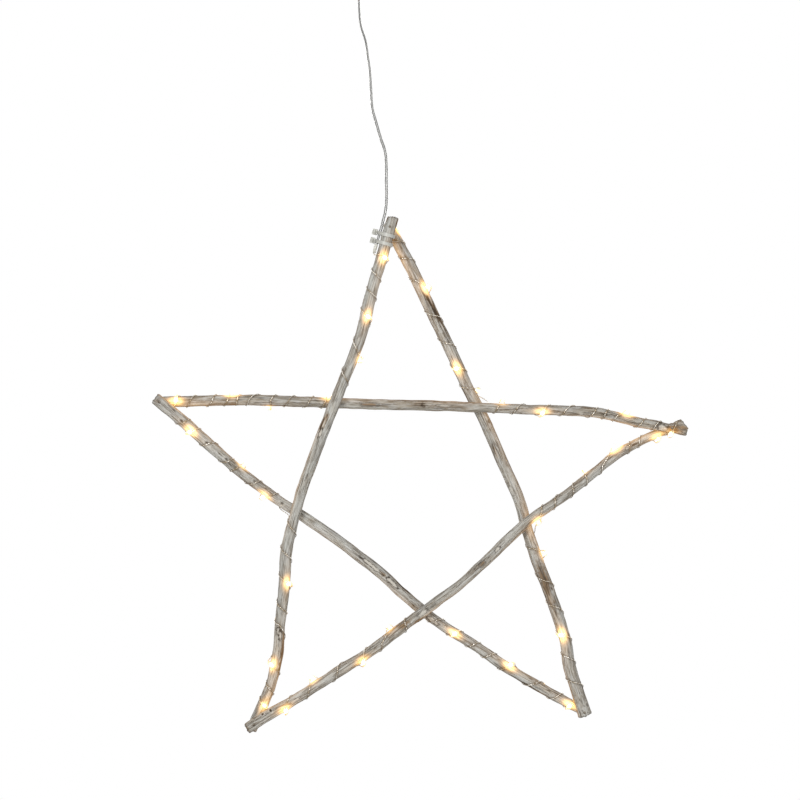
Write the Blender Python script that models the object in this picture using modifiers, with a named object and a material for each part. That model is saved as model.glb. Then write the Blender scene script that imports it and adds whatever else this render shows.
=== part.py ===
"""A hanging Christmas star: five whitewashed branches nailed into a five-pointed star, wound with
one string of small LED drops and hung by its clear lead from a ceiling hook.

Metres, +Z up. The front of the star faces -Y. The origin is on the ceiling, on the hook's axis.
"""
import math

import bmesh
import bpy
import numpy as np
from mathutils import Matrix, Vector

# The star as a whole
STAR_WIDTH = 0.500
STAR_HEIGHT = 0.483
STAR_LEFT_OF_HOOK = 0.193
STAR_FOOT_BELOW_CEILING = 0.761

# Branches
BRANCH_DIAMETER = 0.0115
BRANCH_GAP = 0.0003
CROSSING_REACH_SHARE = 0.5
RING_PITCH = 0.0150
SECTION_SIDES = 10
LOBES = 3
LOBE_SHARE = 0.03
LOBE_TURN_PITCH = 0.120

# Nails at the tips
NAIL_SHANK_DIAMETER = 0.0014
NAIL_HEAD_DIAMETER = 0.0024
NAIL_HEAD_THICKNESS = 0.0007
NAIL_BITE_SHARE = 0.60
NAIL_SIDES = 8

# The string of LED drops
WIRE_DIAMETER = 0.0009
DROP_DIAMETER = 0.0046
DROP_LENGTH = 0.0075
DROP_END_DIAMETER = 0.0028
DROP_BARREL_SHARE = 0.45
DROP_SIDES = 6
SEAT_GAP = 0.0003
CURL_POINTS = 8
HOP_POINTS = 3

# The lead and the sleeve over its splice
LEAD_DIAMETER = 0.0028
LEAD_HOLD_TURNS = -0.25
LEAD_POINT_PITCH = 0.0070
LOOP_POINT_PITCH = 0.0030
SLEEVE_DIAMETER = 0.0035
SLEEVE_LENGTH = 0.0090
SLEEVE_TAPER = 0.0008
SLEEVE_SIDES = 10

# Cable ties
TIE_WIDTH = 0.0033
TIE_THICKNESS = 0.0009
TIE_HEAD_LENGTH = 0.0056
TIE_HEAD_WIDTH = 0.0054
TIE_HEAD_HEIGHT = 0.0048
TIE_HEAD_BEVEL = 0.0008
TIE_TAIL_LENGTH = 0.0016
TIE_TAIL_HEIGHT_SHARE = 0.6
TIE_ARC_POINTS = 9
LOOP_TIE_BELOW_CEILING = 0.0530

# The ceiling hook
HOOK_BASE_DIAMETER = 0.0240
HOOK_BASE_THICKNESS = 0.0030
HOOK_BASE_EDGE = 0.0010
HOOK_BASE_SIDES = 24
HOOK_WIRE_DIAMETER = 0.0030
HOOK_BOW_RADIUS = 0.0080
HOOK_BOW_BELOW_CEILING = 0.0260
HOOK_BOW_POINTS = 12
HOOK_BOW_START_DEGREES = 50
HOOK_BOW_SWEEP_DEGREES = 255

# The connector on the lead's far end
CONNECTOR_DIAMETER = 0.0050
CONNECTOR_LENGTH = 0.0130
CONNECTOR_EDGE = 0.0006
CONNECTOR_GRIP_DEPTH = 0.0030
CONNECTOR_SOCKET_DIAMETER = 0.0026
CONNECTOR_SOCKET_DEPTH = 0.0050
CONNECTOR_SIDES = 12

CUT_OVERRUN = 0.0020
MERGE_DISTANCE = 0.000005
SHARP_DEGREES = 50

# Each branch's centre line as shares of the star's width from its left edge and of its height from
# its foot, with the thickness as a share of the branches' diameter
BRANCH_SHARES = {
    "branch_left_leg": (
        (0.4500, 0.9960, 0.92), (0.4430, 0.9730, 0.99), (0.4326, 0.9332, 1.00),
        (0.4108, 0.8552, 0.97), (0.4020, 0.8166, 1.04), (0.3873, 0.7587, 0.94),
        (0.3579, 0.6815, 0.92), (0.3288, 0.6042, 0.98), (0.2863, 0.4884, 0.94),
        (0.2675, 0.4228, 0.90), (0.2511, 0.3494, 1.00), (0.2470, 0.2799, 0.96),
        (0.2391, 0.2143, 0.88), (0.2350, 0.1564, 0.93), (0.2216, 0.0907, 0.89),
        (0.1987, 0.0367, 0.96), (0.1847, 0.0029, 0.86),
    ),
    "branch_right_leg": (
        (0.4386, 0.9855, 0.93), (0.4645, 0.9332, 1.00), (0.4865, 0.8900, 0.99),
        (0.5202, 0.8166, 0.99), (0.5562, 0.7394, 0.97), (0.5903, 0.6622, 0.97),
        (0.6179, 0.6081, 0.97), (0.6516, 0.5270, 0.97), (0.6843, 0.4498, 0.97),
        (0.7016, 0.3861, 0.97), (0.7215, 0.3243, 1.03), (0.7459, 0.2568, 1.01),
        (0.7700, 0.1795, 1.00), (0.7778, 0.1303, 1.04), (0.7925, 0.0811, 1.07),
        (0.8017, 0.0521, 1.12), (0.8069, 0.0328, 1.18),
    ),
    "branch_crossbar": (
        (0.0076, 0.6380, 0.88), (0.0440, 0.6390, 0.92), (0.1139, 0.6413, 0.89),
        (0.2015, 0.6421, 0.91), (0.3320, 0.6365, 0.89), (0.4624, 0.6326, 0.88),
        (0.5463, 0.6303, 0.87), (0.6488, 0.6264, 0.82), (0.7290, 0.6230, 0.83),
        (0.8082, 0.6199, 0.87), (0.8557, 0.6124, 0.85), (0.8949, 0.6017, 0.81),
        (0.9303, 0.5946, 0.86), (0.9620, 0.5884, 0.79), (0.9797, 0.5888, 1.09),
        (0.9979, 0.5888, 1.38),
    ),
    "branch_falling": (
        (0.0058, 0.6463, 0.99), (0.0535, 0.6054, 1.00), (0.0915, 0.5707, 1.00),
        (0.1295, 0.5357, 0.96), (0.1648, 0.5041, 0.91), (0.2205, 0.4589, 0.86),
        (0.2583, 0.4324, 0.86), (0.2966, 0.4071, 0.92), (0.3441, 0.3732, 0.91),
        (0.4252, 0.3079, 0.93), (0.4727, 0.2635, 0.91), (0.5392, 0.2085, 0.86),
        (0.6032, 0.1666, 0.88), (0.6507, 0.1322, 0.91), (0.6982, 0.1025, 0.88),
        (0.7625, 0.0643, 0.87), (0.8119, 0.0378, 0.85),
    ),
    "branch_rising": (
        (0.1765, 0.0089, 0.91), (0.2257, 0.0405, 0.96), (0.2650, 0.0641, 0.84),
        (0.3133, 0.0961, 0.89), (0.3515, 0.1216, 0.93), (0.3944, 0.1490, 0.88),
        (0.4315, 0.1759, 0.89), (0.4727, 0.2095, 0.87), (0.5062, 0.2355, 0.88),
        (0.5743, 0.2871, 0.81), (0.6209, 0.3311, 0.84), (0.6675, 0.3778, 0.88),
        (0.7047, 0.4127, 0.79), (0.7476, 0.4421, 0.81), (0.7830, 0.4685, 0.81),
        (0.8390, 0.5147, 0.79), (0.8643, 0.5351, 0.83), (0.9098, 0.5622, 0.76),
        (0.9377, 0.5753, 0.76), (0.9741, 0.5907, 0.73),
    ),
}

# Where two branches cross, the front one first; the first five are nailed tips
CROSSINGS = (
    ("branch_left_leg", "branch_right_leg", "tip_nail_top"),
    ("branch_crossbar", "branch_rising", "tip_nail_right"),
    ("branch_right_leg", "branch_falling", "tip_nail_lower_right"),
    ("branch_rising", "branch_left_leg", "tip_nail_lower_left"),
    ("branch_falling", "branch_crossbar", "tip_nail_left"),
    ("branch_left_leg", "branch_crossbar", None),
    ("branch_crossbar", "branch_right_leg", None),
    ("branch_rising", "branch_right_leg", None),
    ("branch_rising", "branch_falling", None),
    ("branch_left_leg", "branch_falling", None),
)

# The winding, arm by arm along the star's outer edge. A key is a place on the branch's centre line,
# as a share of the star's height on the two legs and of its width on the others, then the winding
# angle in turns, whole at the front and a quarter more at the right or upper side, and 1 where a
# drop sits.
WINDING_SHARES = (
    ("branch_left_leg", (
        (0.9190, -0.12, 0), (0.9176, 0.06, 1), (0.8824, 1.00, 0), (0.8649, 1.50, 1),
        (0.8483, 2.00, 0), (0.8035, 3.04, 1), (0.7415, 4.00, 0), (0.7255, 4.25, 1),
        (0.6865, 5.00, 0), (0.6602, 5.60, 0))),
    ("branch_crossbar", (
        (0.3345, 0.38, 0), (0.3290, 0.22, 1), (0.2928, -1.00, 0), (0.2544, -2.00, 0),
        (0.2214, -3.00, 0), (0.2180, -3.36, 1), (0.1810, -4.00, 0), (0.1586, -5.00, 0),
        (0.1484, -5.75, 1), (0.1407, -6.00, 0), (0.1124, -7.00, 0), (0.0915, -7.50, 1),
        (0.0705, -8.00, 0), (0.0449, -8.97, 1), (0.0356, -9.35, 0))),
    ("branch_falling", (
        (0.0449, -0.50, 0), (0.0604, 0.00, 0), (0.0753, 0.95, 1), (0.1046, 2.00, 0),
        (0.1418, 3.00, 0), (0.1568, 4.00, 0), (0.1623, 4.25, 1), (0.1912, 5.00, 0),
        (0.2136, 5.86, 1), (0.2229, 6.05, 0), (0.2425, 6.70, 0))),
    ("branch_left_leg", (
        (0.4131, -0.30, 0), (0.3958, 0.00, 0), (0.3463, 1.00, 0), (0.2907, 2.08, 1),
        (0.2413, 3.00, 0), (0.2239, 3.50, 1), (0.2085, 4.00, 0), (0.1313, 4.91, 1),
        (0.0849, 6.00, 0), (0.0550, 7.03, 1), (0.0480, 7.27, 0))),
    ("branch_rising", (
        (0.2370, 0.55, 0), (0.2462, 0.91, 1), (0.2600, 1.15, 0), (0.2928, 2.00, 0),
        (0.3077, 2.25, 1), (0.3459, 3.00, 0), (0.3895, 3.90, 1), (0.3990, 4.10, 0),
        (0.4289, 5.00, 0), (0.4513, 5.25, 1), (0.4727, 6.00, 0), (0.4848, 6.60, 0))),
    ("branch_falling", (
        (0.5165, -0.35, 0), (0.5295, 0.00, 0), (0.5642, 1.00, 1), (0.5989, 2.00, 0),
        (0.6278, 3.00, 0), (0.6637, 4.09, 1), (0.7122, 5.00, 0), (0.7327, 5.50, 1),
        (0.7542, 6.00, 0), (0.7795, 6.97, 1), (0.7840, 7.12, 0))),
    ("branch_right_leg", (
        (0.0700, 0.68, 0), (0.0985, 0.00, 0), (0.1456, -1.00, 0), (0.1902, -2.05, 1),
        (0.2432, -3.00, 0), (0.2683, -3.50, 1), (0.2925, -4.00, 0), (0.3407, -4.75, 1),
        (0.3542, -5.00, 0), (0.3822, -5.70, 0))),
    ("branch_rising", (
        (0.7122, 0.79, 1), (0.7257, 1.00, 0), (0.7501, 2.00, 0), (0.7842, 3.00, 0),
        (0.8091, 4.00, 0), (0.8147, 4.30, 1), (0.8384, 5.00, 0), (0.8688, 5.25, 1),
        (0.8902, 6.00, 0), (0.9079, 7.00, 0), (0.9400, 7.88, 1), (0.9540, 7.78, 0),
        (0.9741, 7.72, 0))),
    ("branch_crossbar", (
        (0.9820, -0.45, 0), (0.9800, -0.75, 0), (0.9745, -0.95, 0), (0.9657, -1.12, 1),
        (0.9377, -2.00, 0), (0.9116, -3.00, 0),
        (0.8809, -3.75, 1), (0.8641, -4.00, 0), (0.8436, -5.00, 0), (0.8235, -6.00, 0),
        (0.7980, -6.50, 1), (0.7696, -7.00, 0), (0.7271, -8.06, 1), (0.6787, -9.00, 0),
        (0.6516, -9.75, 1), (0.6431, -10.00, 0), (0.6283, -10.60, 0))),
    ("branch_right_leg", (
        (0.6535, 0.32, 1), (0.6651, 0.00, 0), (0.7046, -1.04, 1),
        (0.7514, -2.00, 0), (0.8056, -3.00, 0), (0.8552, -3.86, 1), (0.8714, -4.00, 0),
        (0.9158, -5.00, 0), (0.9486, -6.00, 0), (0.9680, -6.74, 1))),
)

# Places on the left leg, as shares of the star's height
TIE_SHARES = {"cable_tie_upper": 0.9595, "cable_tie_lower": 0.9431}
SLEEVE_SHARE = 0.9290

# The free lead's route from the ties up to its loop
LEAD_ROUTE = (
    (0.0211, -0.0057, -0.2905), (0.0227, -0.0056, -0.2834), (0.0245, -0.0054, -0.2763),
    (0.0257, -0.0051, -0.2644), (0.0255, -0.0046, -0.2474), (0.0254, -0.0041, -0.2304),
    (0.0241, -0.0038, -0.2189), (0.0203, -0.0034, -0.2075), (0.0156, -0.0029, -0.1913),
    (0.0128, -0.0026, -0.1809), (0.0117, -0.0023, -0.1712), (0.0103, -0.0015, -0.1463),
    (0.0084, -0.0010, -0.1315), (0.0061, -0.0004, -0.1160), (0.0014, 0.0003, -0.1000),
    (0.0000, 0.0012, -0.0780), (0.0000, 0.0015, -0.0660),
)
# The loop over the hook, from the standing leg round to the connector
LOOP_ROUTE = (
    (0, 0.00155, -0.0590), (0, 0.00155, -0.0530), (0, 0.00160, -0.0505), (0, 0.00230, -0.0475),
    (0, 0.00450, -0.0415), (0, 0.00700, -0.0355), (0, 0.00820, -0.0310), (0, 0.00710, -0.0269),
    (0, 0.00410, -0.0239), (0, 0.00000, -0.0228), (0, -0.00410, -0.0239), (0, -0.00710, -0.0269),
    (0, -0.00820, -0.0310), (0, -0.00700, -0.0355), (0, -0.00450, -0.0415), (0, -0.00230, -0.0475),
    (0, -0.00160, -0.0505), (0, -0.00155, -0.0530), (0, -0.00165, -0.0565), (0, -0.00240, -0.0595),
    (0, -0.00315, -0.0620), (0, -0.00340, -0.0640), (0, -0.00340, -0.0662),
)

# Worked out from the sizes above
WIRE_SEAT = SEAT_GAP + WIRE_DIAMETER / 2
DROP_SEAT = SEAT_GAP + DROP_DIAMETER / 2
LEAD_SEAT = SEAT_GAP + LEAD_DIAMETER / 2

# Base colour, roughness and metallic value
MATERIALS = {
    "whitewashed_wood": ((0.60, 0.58, 0.54), 0.75, 0.0),
    "nail_steel": ((0.32, 0.27, 0.22), 0.45, 0.9),
    "silver_wire": ((0.72, 0.70, 0.66), 0.28, 0.9),
    "led_epoxy": ((1.00, 0.86, 0.55), 0.10, 0.0),
    "clear_pvc": ((0.78, 0.77, 0.73), 0.20, 0.0),
    "natural_nylon": ((0.80, 0.79, 0.74), 0.35, 0.0),
    "white_lacquer": ((0.86, 0.86, 0.85), 0.30, 0.0),
    "white_plastic": ((0.82, 0.82, 0.80), 0.40, 0.0),
}


def clear_scene():
    for obj in list(bpy.data.objects):
        bpy.data.objects.remove(obj, do_unlink=True)


def new_collection(name):
    collection = bpy.data.collections.new(name)
    bpy.context.scene.collection.children.link(collection)
    return collection


def new_material(name):
    colour, roughness, metallic = MATERIALS[name]
    material = bpy.data.materials.new(name)
    material.use_nodes = True
    shader = material.node_tree.nodes["Principled BSDF"]
    shader.inputs["Base Color"].default_value = (*colour, 1)
    shader.inputs["Roughness"].default_value = roughness
    shader.inputs["Metallic"].default_value = metallic
    return material


def add_object(name, data, material, collection):
    obj = bpy.data.objects.new(name, data)
    collection.objects.link(obj)
    if material:
        data.materials.append(material)
    return obj


def spline_between(a, b, c, d, share):
    """The place at a share of the way from b to c on the Catmull-Rom curve through all four."""
    return 0.5 * (2 * b + (c - a) * share + (2 * a - 5 * b + 4 * c - d) * share ** 2
                  + (3 * b - a - 3 * c + d) * share ** 3)


def smooth_path(points, pitch):
    """A smooth curve through the points, each kept, with steps of about the pitch between them."""
    rows = np.array(points, dtype=float)
    padded = np.vstack((2 * rows[0] - rows[1], rows, 2 * rows[-1] - rows[-2]))
    path = []
    for a, b, c, d in zip(padded, padded[1:], padded[2:], padded[3:]):
        steps = max(1, round(np.linalg.norm(c - b) / pitch))
        path.extend(spline_between(a, b, c, d, step / steps) for step in range(steps))
    path.append(rows[-1])
    return np.array(path)


class Branch:
    """A branch's centre line and thickness, by the distance along it from its first end."""

    def __init__(self, name):
        self.name = name
        self.is_leg = name.endswith("leg")
        rows = [(x * STAR_WIDTH, z * STAR_HEIGHT, girth * BRANCH_DIAMETER / 2)
                for x, z, girth in BRANCH_SHARES[name]]
        path = smooth_path(rows, BRANCH_DIAMETER / 8)
        self.x = path[:, 0] - STAR_LEFT_OF_HOOK
        self.z = path[:, 1] - STAR_FOOT_BELOW_CEILING
        self.radii = path[:, 2]
        steps = np.hypot(np.diff(self.x), np.diff(self.z))
        self.run = np.concatenate(([0], np.cumsum(steps)))
        self.length = float(self.run[-1])
        self.depth_keys = []

    def slope(self, index):
        """Direction in the plane of the star at a point of the centre line."""
        before = max(index - 1, 0)
        after = min(index + 1, len(self.x) - 1)
        return Vector((self.x[after] - self.x[before], self.z[after] - self.z[before])).normalized()

    def at_share(self, share):
        """Distance along the branch at a share of the star's height, or width off the legs."""
        if self.is_leg:
            height = share * STAR_HEIGHT - STAR_FOOT_BELOW_CEILING
            return float(np.interp(-height, -self.z, self.run))
        return float(np.interp(share * STAR_WIDTH - STAR_LEFT_OF_HOOK, self.x, self.run))

    def depth(self, run):
        """Depth eased between the crossings, level beyond the outermost ones."""
        keys = self.depth_keys
        for (run_a, depth_a), (run_b, depth_b) in zip(keys, keys[1:]):
            if run_a < run <= run_b:
                share = (run - run_a) / (run_b - run_a)
                ease = (1 - math.cos(math.pi * share)) / 2
                return depth_a + (depth_b - depth_a) * ease
        return keys[0][1] if run <= keys[0][0] else keys[-1][1]

    def centre(self, run):
        x = np.interp(run, self.run, self.x)
        z = np.interp(run, self.run, self.z)
        return Vector((x, self.depth(run), z))

    def radius(self, run):
        return float(np.interp(run, self.run, self.radii))

    def skin(self, run, reach=0):
        """Radius over the lobes, the largest within a reach along the branch."""
        near = np.linspace(run - reach, run + reach, 5)
        return float(np.max(np.interp(near, self.run, self.radii))) * (1 + LOBE_SHARE)

    def frame(self, run):
        """Tangent, side (right or up) and front directions at a place."""
        step = BRANCH_DIAMETER / 4
        tangent = self.centre(min(run + step, self.length)) - self.centre(max(run - step, 0))
        tangent.normalize()
        side = Vector((-tangent.z, 0, tangent.x)).normalized()
        return tangent, side, tangent.cross(side)

    def out(self, run, turns):
        """Direction away from the branch's axis at a winding angle."""
        tangent, side, front = self.frame(run)
        angle = 2 * math.pi * turns
        return front * math.cos(angle) + side * math.sin(angle)

    def around(self, run, turns):
        """Direction round the branch at a winding angle."""
        return self.out(run, turns + 1 / 4)


def crossing_runs(one, other):
    """Distances along two branches at which they cross in the plane of the star."""
    gaps = np.hypot(one.x[:, None] - other.x[None, :], one.z[:, None] - other.z[None, :])
    i, j = np.unravel_index(np.argmin(gaps), gaps.shape)
    along = one.slope(i)
    across = other.slope(j)
    apart = Vector((other.x[j] - one.x[i], other.z[j] - one.z[i]))
    turn = along.cross(across)
    return float(one.run[i]) + apart.cross(across) / turn, float(other.run[j]) + apart.cross(along) / turn


def set_depths(branches):
    """At each crossing the two thicknesses are split evenly to the front and back of the star."""
    nails = []
    reach = BRANCH_DIAMETER * CROSSING_REACH_SHARE
    for front_name, back_name, nail in CROSSINGS:
        front = branches[front_name]
        back = branches[back_name]
        front_run, back_run = crossing_runs(front, back)
        half = (front.skin(front_run, reach) + back.skin(back_run, reach) + BRANCH_GAP) / 2
        front.depth_keys.append((front_run, -half))
        back.depth_keys.append((back_run, half))
        if nail:
            nails.append((nail, front, front_run, back, back_run))
    for branch in branches.values():
        branch.depth_keys.sort()
    return nails


def loft_branch(branch, material, collection):
    """A loft through lobed sections square to the centre line, closed by the two sawn ends."""
    shape = bmesh.new()
    rings = []
    for run in np.linspace(0, branch.length, round(branch.length / RING_PITCH) + 1):
        ring = []
        for side in range(SECTION_SIDES):
            turns = side / SECTION_SIDES
            lobe = math.cos(2 * math.pi * (LOBES * turns + run / LOBE_TURN_PITCH))
            reach = branch.radius(run) * (1 + LOBE_SHARE * lobe)
            ring.append(shape.verts.new(branch.centre(run) + branch.out(run, turns) * reach))
        rings.append(ring)
    for ring, following in zip(rings, rings[1:]):
        for a in range(SECTION_SIDES):
            b = (a + 1) % SECTION_SIDES
            shape.faces.new((ring[a], ring[b], following[b], following[a]))
    shape.faces.new(rings[0])
    shape.faces.new(rings[-1])
    bmesh.ops.recalc_face_normals(shape, faces=shape.faces)
    mesh = bpy.data.meshes.new(branch.name)
    shape.to_mesh(mesh)
    shape.free()
    mesh.shade_smooth()
    mesh.set_sharp_from_angle(angle=math.radians(SHARP_DEGREES))
    return add_object(branch.name, mesh, material, collection)


def turned(name, profile, sides, material, collection):
    """A solid turned about Z from a profile of (radius, height), down its outer side first."""
    verts = [(radius, 0, height) for radius, height in profile]
    edges = [(i, i + 1) for i in range(len(verts) - 1)]
    if profile[0][0] > 0:
        edges.append((len(verts) - 1, 0))
    mesh = bpy.data.meshes.new(name)
    mesh.from_pydata(verts, edges, [])
    obj = add_object(name, mesh, material, collection)
    screw = obj.modifiers.new("turn", "SCREW")
    screw.steps = sides
    screw.render_steps = sides
    screw.use_merge_vertices = True
    screw.merge_threshold = MERGE_DISTANCE
    screw.use_smooth_shade = True
    return obj


def frozen(obj):
    """The object with its evaluated shape as a mesh of its own, its caps joined on."""
    depsgraph = bpy.context.evaluated_depsgraph_get()
    mesh = bpy.data.meshes.new_from_object(obj.evaluated_get(depsgraph))
    shape = bmesh.new()
    shape.from_mesh(mesh)
    bmesh.ops.remove_doubles(shape, verts=shape.verts, dist=MERGE_DISTANCE)
    shape.to_mesh(mesh)
    shape.free()
    name = obj.name
    place = obj.matrix_world.copy()
    collection = obj.users_collection[0]
    bpy.data.objects.remove(obj, do_unlink=True)
    solid = bpy.data.objects.new(name, mesh)
    collection.objects.link(solid)
    solid.matrix_world = place
    return solid


def tube(name, points, diameter, resolution, material, collection):
    curve = bpy.data.curves.new(name, "CURVE")
    curve.dimensions = "3D"
    curve.bevel_depth = diameter / 2
    curve.bevel_resolution = resolution
    curve.use_fill_caps = True
    spline = curve.splines.new("POLY")
    spline.points.add(len(points) - 1)
    for point, place in zip(spline.points, points):
        point.co = (*place, 1)
    return add_object(name, curve, material, collection)


def aim(obj, place, direction):
    """Puts an object at a place with its Z axis along a direction."""
    turn = Vector(direction).to_track_quat("Z", "Y")
    obj.matrix_world = Matrix.Translation(place) @ turn.to_matrix().to_4x4()


def as_cutter(obj):
    obj.hide_render = True
    obj.display_type = "WIRE"
    return obj


def combine(obj, operation, other):
    boolean = obj.modifiers.new(operation.lower(), "BOOLEAN")
    boolean.operation = operation
    boolean.object = as_cutter(other)


def make_nail(name, front, front_run, back, back_run, solids, material, collection, cutters):
    """A headed nail through the front branch into the back one, in a hole with a small gap."""
    centre = (front.centre(front_run) + back.centre(back_run)) / 2
    seat = front.centre(front_run).y - front.skin(front_run, NAIL_HEAD_DIAMETER) - SEAT_GAP
    point = back.centre(back_run).y + back.radius(back_run) * (2 * NAIL_BITE_SHARE - 1)
    length = point - seat
    shank = NAIL_SHANK_DIAMETER / 2
    head = NAIL_HEAD_DIAMETER / 2
    profile = ((0, NAIL_HEAD_THICKNESS), (head, NAIL_HEAD_THICKNESS), (head, 0), (shank, 0),
               (shank, NAIL_SHANK_DIAMETER - length), (0, -length))
    nail = turned(name, profile, NAIL_SIDES, material, collection)
    aim(nail, (centre.x, seat, centre.z), (0, -1, 0))
    hole = shank + SEAT_GAP
    hole_profile = ((0, CUT_OVERRUN), (hole, CUT_OVERRUN), (hole, -length - SEAT_GAP),
                    (0, -length - SEAT_GAP))
    bore = turned(name + "_bore", hole_profile, NAIL_SIDES, None, cutters)
    aim(bore, (centre.x, seat, centre.z), (0, -1, 0))
    combine(solids[front.name], "DIFFERENCE", bore)
    combine(solids[back.name], "DIFFERENCE", bore)


def wound_place(branch, run, turns):
    reach = (branch.skin(run, WIRE_DIAMETER) + WIRE_SEAT) / math.cos(math.pi / CURL_POINTS)
    return branch.centre(run) + branch.out(run, turns) * reach


def drop_pose(branch, keys, index):
    """Centre and direction of the drop at a key, along the winding's own slope there."""
    runs = [branch.at_share(key[0]) for key in keys]
    before = max(index - 1, 0)
    after = min(index + 1, len(keys) - 1)
    run = runs[index]
    turns = keys[index][1]
    reach = branch.skin(run, DROP_LENGTH / 2) + DROP_SEAT
    forward = branch.frame(run)[0] * (runs[after] - runs[before])
    swing = 2 * math.pi * reach * (keys[after][1] - keys[before][1])
    direction = (forward + branch.around(run, turns) * swing).normalized()
    return branch.centre(run) + branch.out(run, turns) * reach, direction


def wind_arm(branch, keys):
    """The wire's points along one arm and the poses of its drops."""
    straight = DROP_LENGTH / 2 + WIRE_DIAMETER
    stations = []
    drops = []
    for index, (share, turns, has_drop) in enumerate(keys):
        run = branch.at_share(share)
        if not has_drop:
            stations.append((run, turns, run, turns, (wound_place(branch, run, turns),)))
            continue
        place, direction = drop_pose(branch, keys, index)
        drops.append((place, direction))
        advance = straight * direction.dot(branch.frame(run)[0])
        swing = straight * direction.dot(branch.around(run, turns))
        swing = math.atan2(swing, branch.skin(run) + DROP_SEAT) / (2 * math.pi)
        ends = (place - direction * straight, place + direction * straight)
        stations.append((run - advance, turns - swing, run + advance, turns + swing, ends))
    points = list(stations[0][4])
    for (_, _, run_a, turns_a, _), (run_b, turns_b, _, _, ends) in zip(stations, stations[1:]):
        steps = max(1, math.ceil(abs(turns_b - turns_a) * CURL_POINTS))
        for step in range(1, steps):
            share = step / steps
            points.append(wound_place(branch, run_a + (run_b - run_a) * share,
                                      turns_a + (turns_b - turns_a) * share))
        points.extend(ends)
    return points, drops


def hop(points, following):
    """A slack bridge from the end of one arm's winding to the start of the next."""
    start = points[-1]
    end = following[0]
    reach = (end - start).length
    leave = (start - points[-2]).normalized() * reach
    arrive = (following[1] - end).normalized() * reach
    bridge = []
    for step in range(1, HOP_POINTS + 1):
        t = step / (HOP_POINTS + 1)
        bridge.append(start * (2 * t ** 3 - 3 * t ** 2 + 1) + leave * (t ** 3 - 2 * t ** 2 + t)
                      + end * (3 * t ** 2 - 2 * t ** 3) + arrive * (t ** 3 - t ** 2))
    return bridge


def beside_left_leg(branches, share, radius):
    """Centre of a round thing that lies against the left leg, and the leg's direction there."""
    leg = branches["branch_left_leg"]
    run = leg.at_share(share)
    reach = leg.skin(run) + SEAT_GAP + radius
    return leg.centre(run) + leg.out(run, LEAD_HOLD_TURNS) * reach, leg.frame(run)[0]


def wire_route(branches):
    """One unbroken line from inside the sleeve, round all ten arms, into the last drop."""
    place, down = beside_left_leg(branches, SLEEVE_SHARE, SLEEVE_DIAMETER / 2)
    points = [place + down * (SLEEVE_LENGTH / 2 - 2 * WIRE_DIAMETER),
              place + down * (SLEEVE_LENGTH / 2 + WIRE_DIAMETER)]
    drops = []
    for index, (name, keys) in enumerate(WINDING_SHARES):
        arm, poses = wind_arm(branches[name], keys)
        if index:
            points.extend(hop(points, arm))
        points.extend(arm)
        drops.extend(poses)
    last_place, last_direction = drops[-1]
    points[-1] = last_place + last_direction * (DROP_LENGTH / 2 - WIRE_DIAMETER)
    return points, drops


def segment_gaps(start, end, starts, ends):
    """Least distances between the segment start-end and each of many segments."""
    u = end - start
    v = ends - starts
    w = start - starts
    uu = u @ u
    uv = v @ u
    vv = (v * v).sum(-1)
    uw = w @ u
    vw = (v * w).sum(-1)
    slant = np.maximum(uu * vv - uv * uv, np.finfo(float).tiny)
    s = np.clip((uv * vw - vv * uw) / slant, 0, 1)
    t = np.clip((uv * s + vw) / vv, 0, 1)
    s = np.clip((uv * t - uw) / uu, 0, 1)
    return np.linalg.norm(w + u * s[:, None] - v * t[:, None], axis=-1)


def least_gap(points, diameter):
    """Least clear gap between parts of a tube that lie more than half a curl apart along it."""
    line = np.array([tuple(point) for point in points])
    starts = line[:-1]
    ends = line[1:]
    least = math.inf
    for index in range(len(starts) - CURL_POINTS):
        far = slice(index + CURL_POINTS // 2, None)
        least = min(least, segment_gaps(starts[index], ends[index], starts[far], ends[far]).min())
    return least - diameter


def make_string(branches, materials, collection):
    """The wire and its drops, each with a bore that the wire runs through."""
    points, drops = wire_route(branches)
    tube("led_wire", points, WIRE_DIAMETER, 1, materials["silver_wire"], collection)
    gap = least_gap(points, WIRE_DIAMETER)
    print(f"led_wire: {len(points)} points, least gap to itself {gap:.5f} m")
    bore = WIRE_DIAMETER / 2 + SEAT_GAP
    belly = DROP_DIAMETER / 2
    tip = DROP_END_DIAMETER / 2
    half = DROP_LENGTH / 2
    barrel = half * DROP_BARREL_SHARE
    profile = ((tip, half), (belly, barrel), (belly, -barrel), (tip, -half), (bore, -half),
               (bore, half))
    first = frozen(turned("led_drop_01", profile, DROP_SIDES, materials["led_epoxy"], collection))
    aim(first, *drops[0])
    for number, pose in enumerate(drops[1:], 2):
        drop = bpy.data.objects.new(f"led_drop_{number:02d}", first.data)
        collection.objects.link(drop)
        aim(drop, *pose)


def make_sleeve(branches, material, collection):
    """A shrunk sleeve that meets the lead's end above and takes the wire in a bore below."""
    outer = SLEEVE_DIAMETER / 2
    bore = WIRE_DIAMETER / 2 + SEAT_GAP
    half = SLEEVE_LENGTH / 2
    bore_top = 3 * WIRE_DIAMETER - half
    profile = ((0, half), (outer, half), (outer, SLEEVE_TAPER - half),
               (outer - SLEEVE_TAPER, -half), (bore, -half), (bore, bore_top), (0, bore_top))
    sleeve = turned("splice_sleeve", profile, SLEEVE_SIDES, material, collection)
    place, down = beside_left_leg(branches, SLEEVE_SHARE, SLEEVE_DIAMETER / 2)
    aim(sleeve, place, -down)


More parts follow.
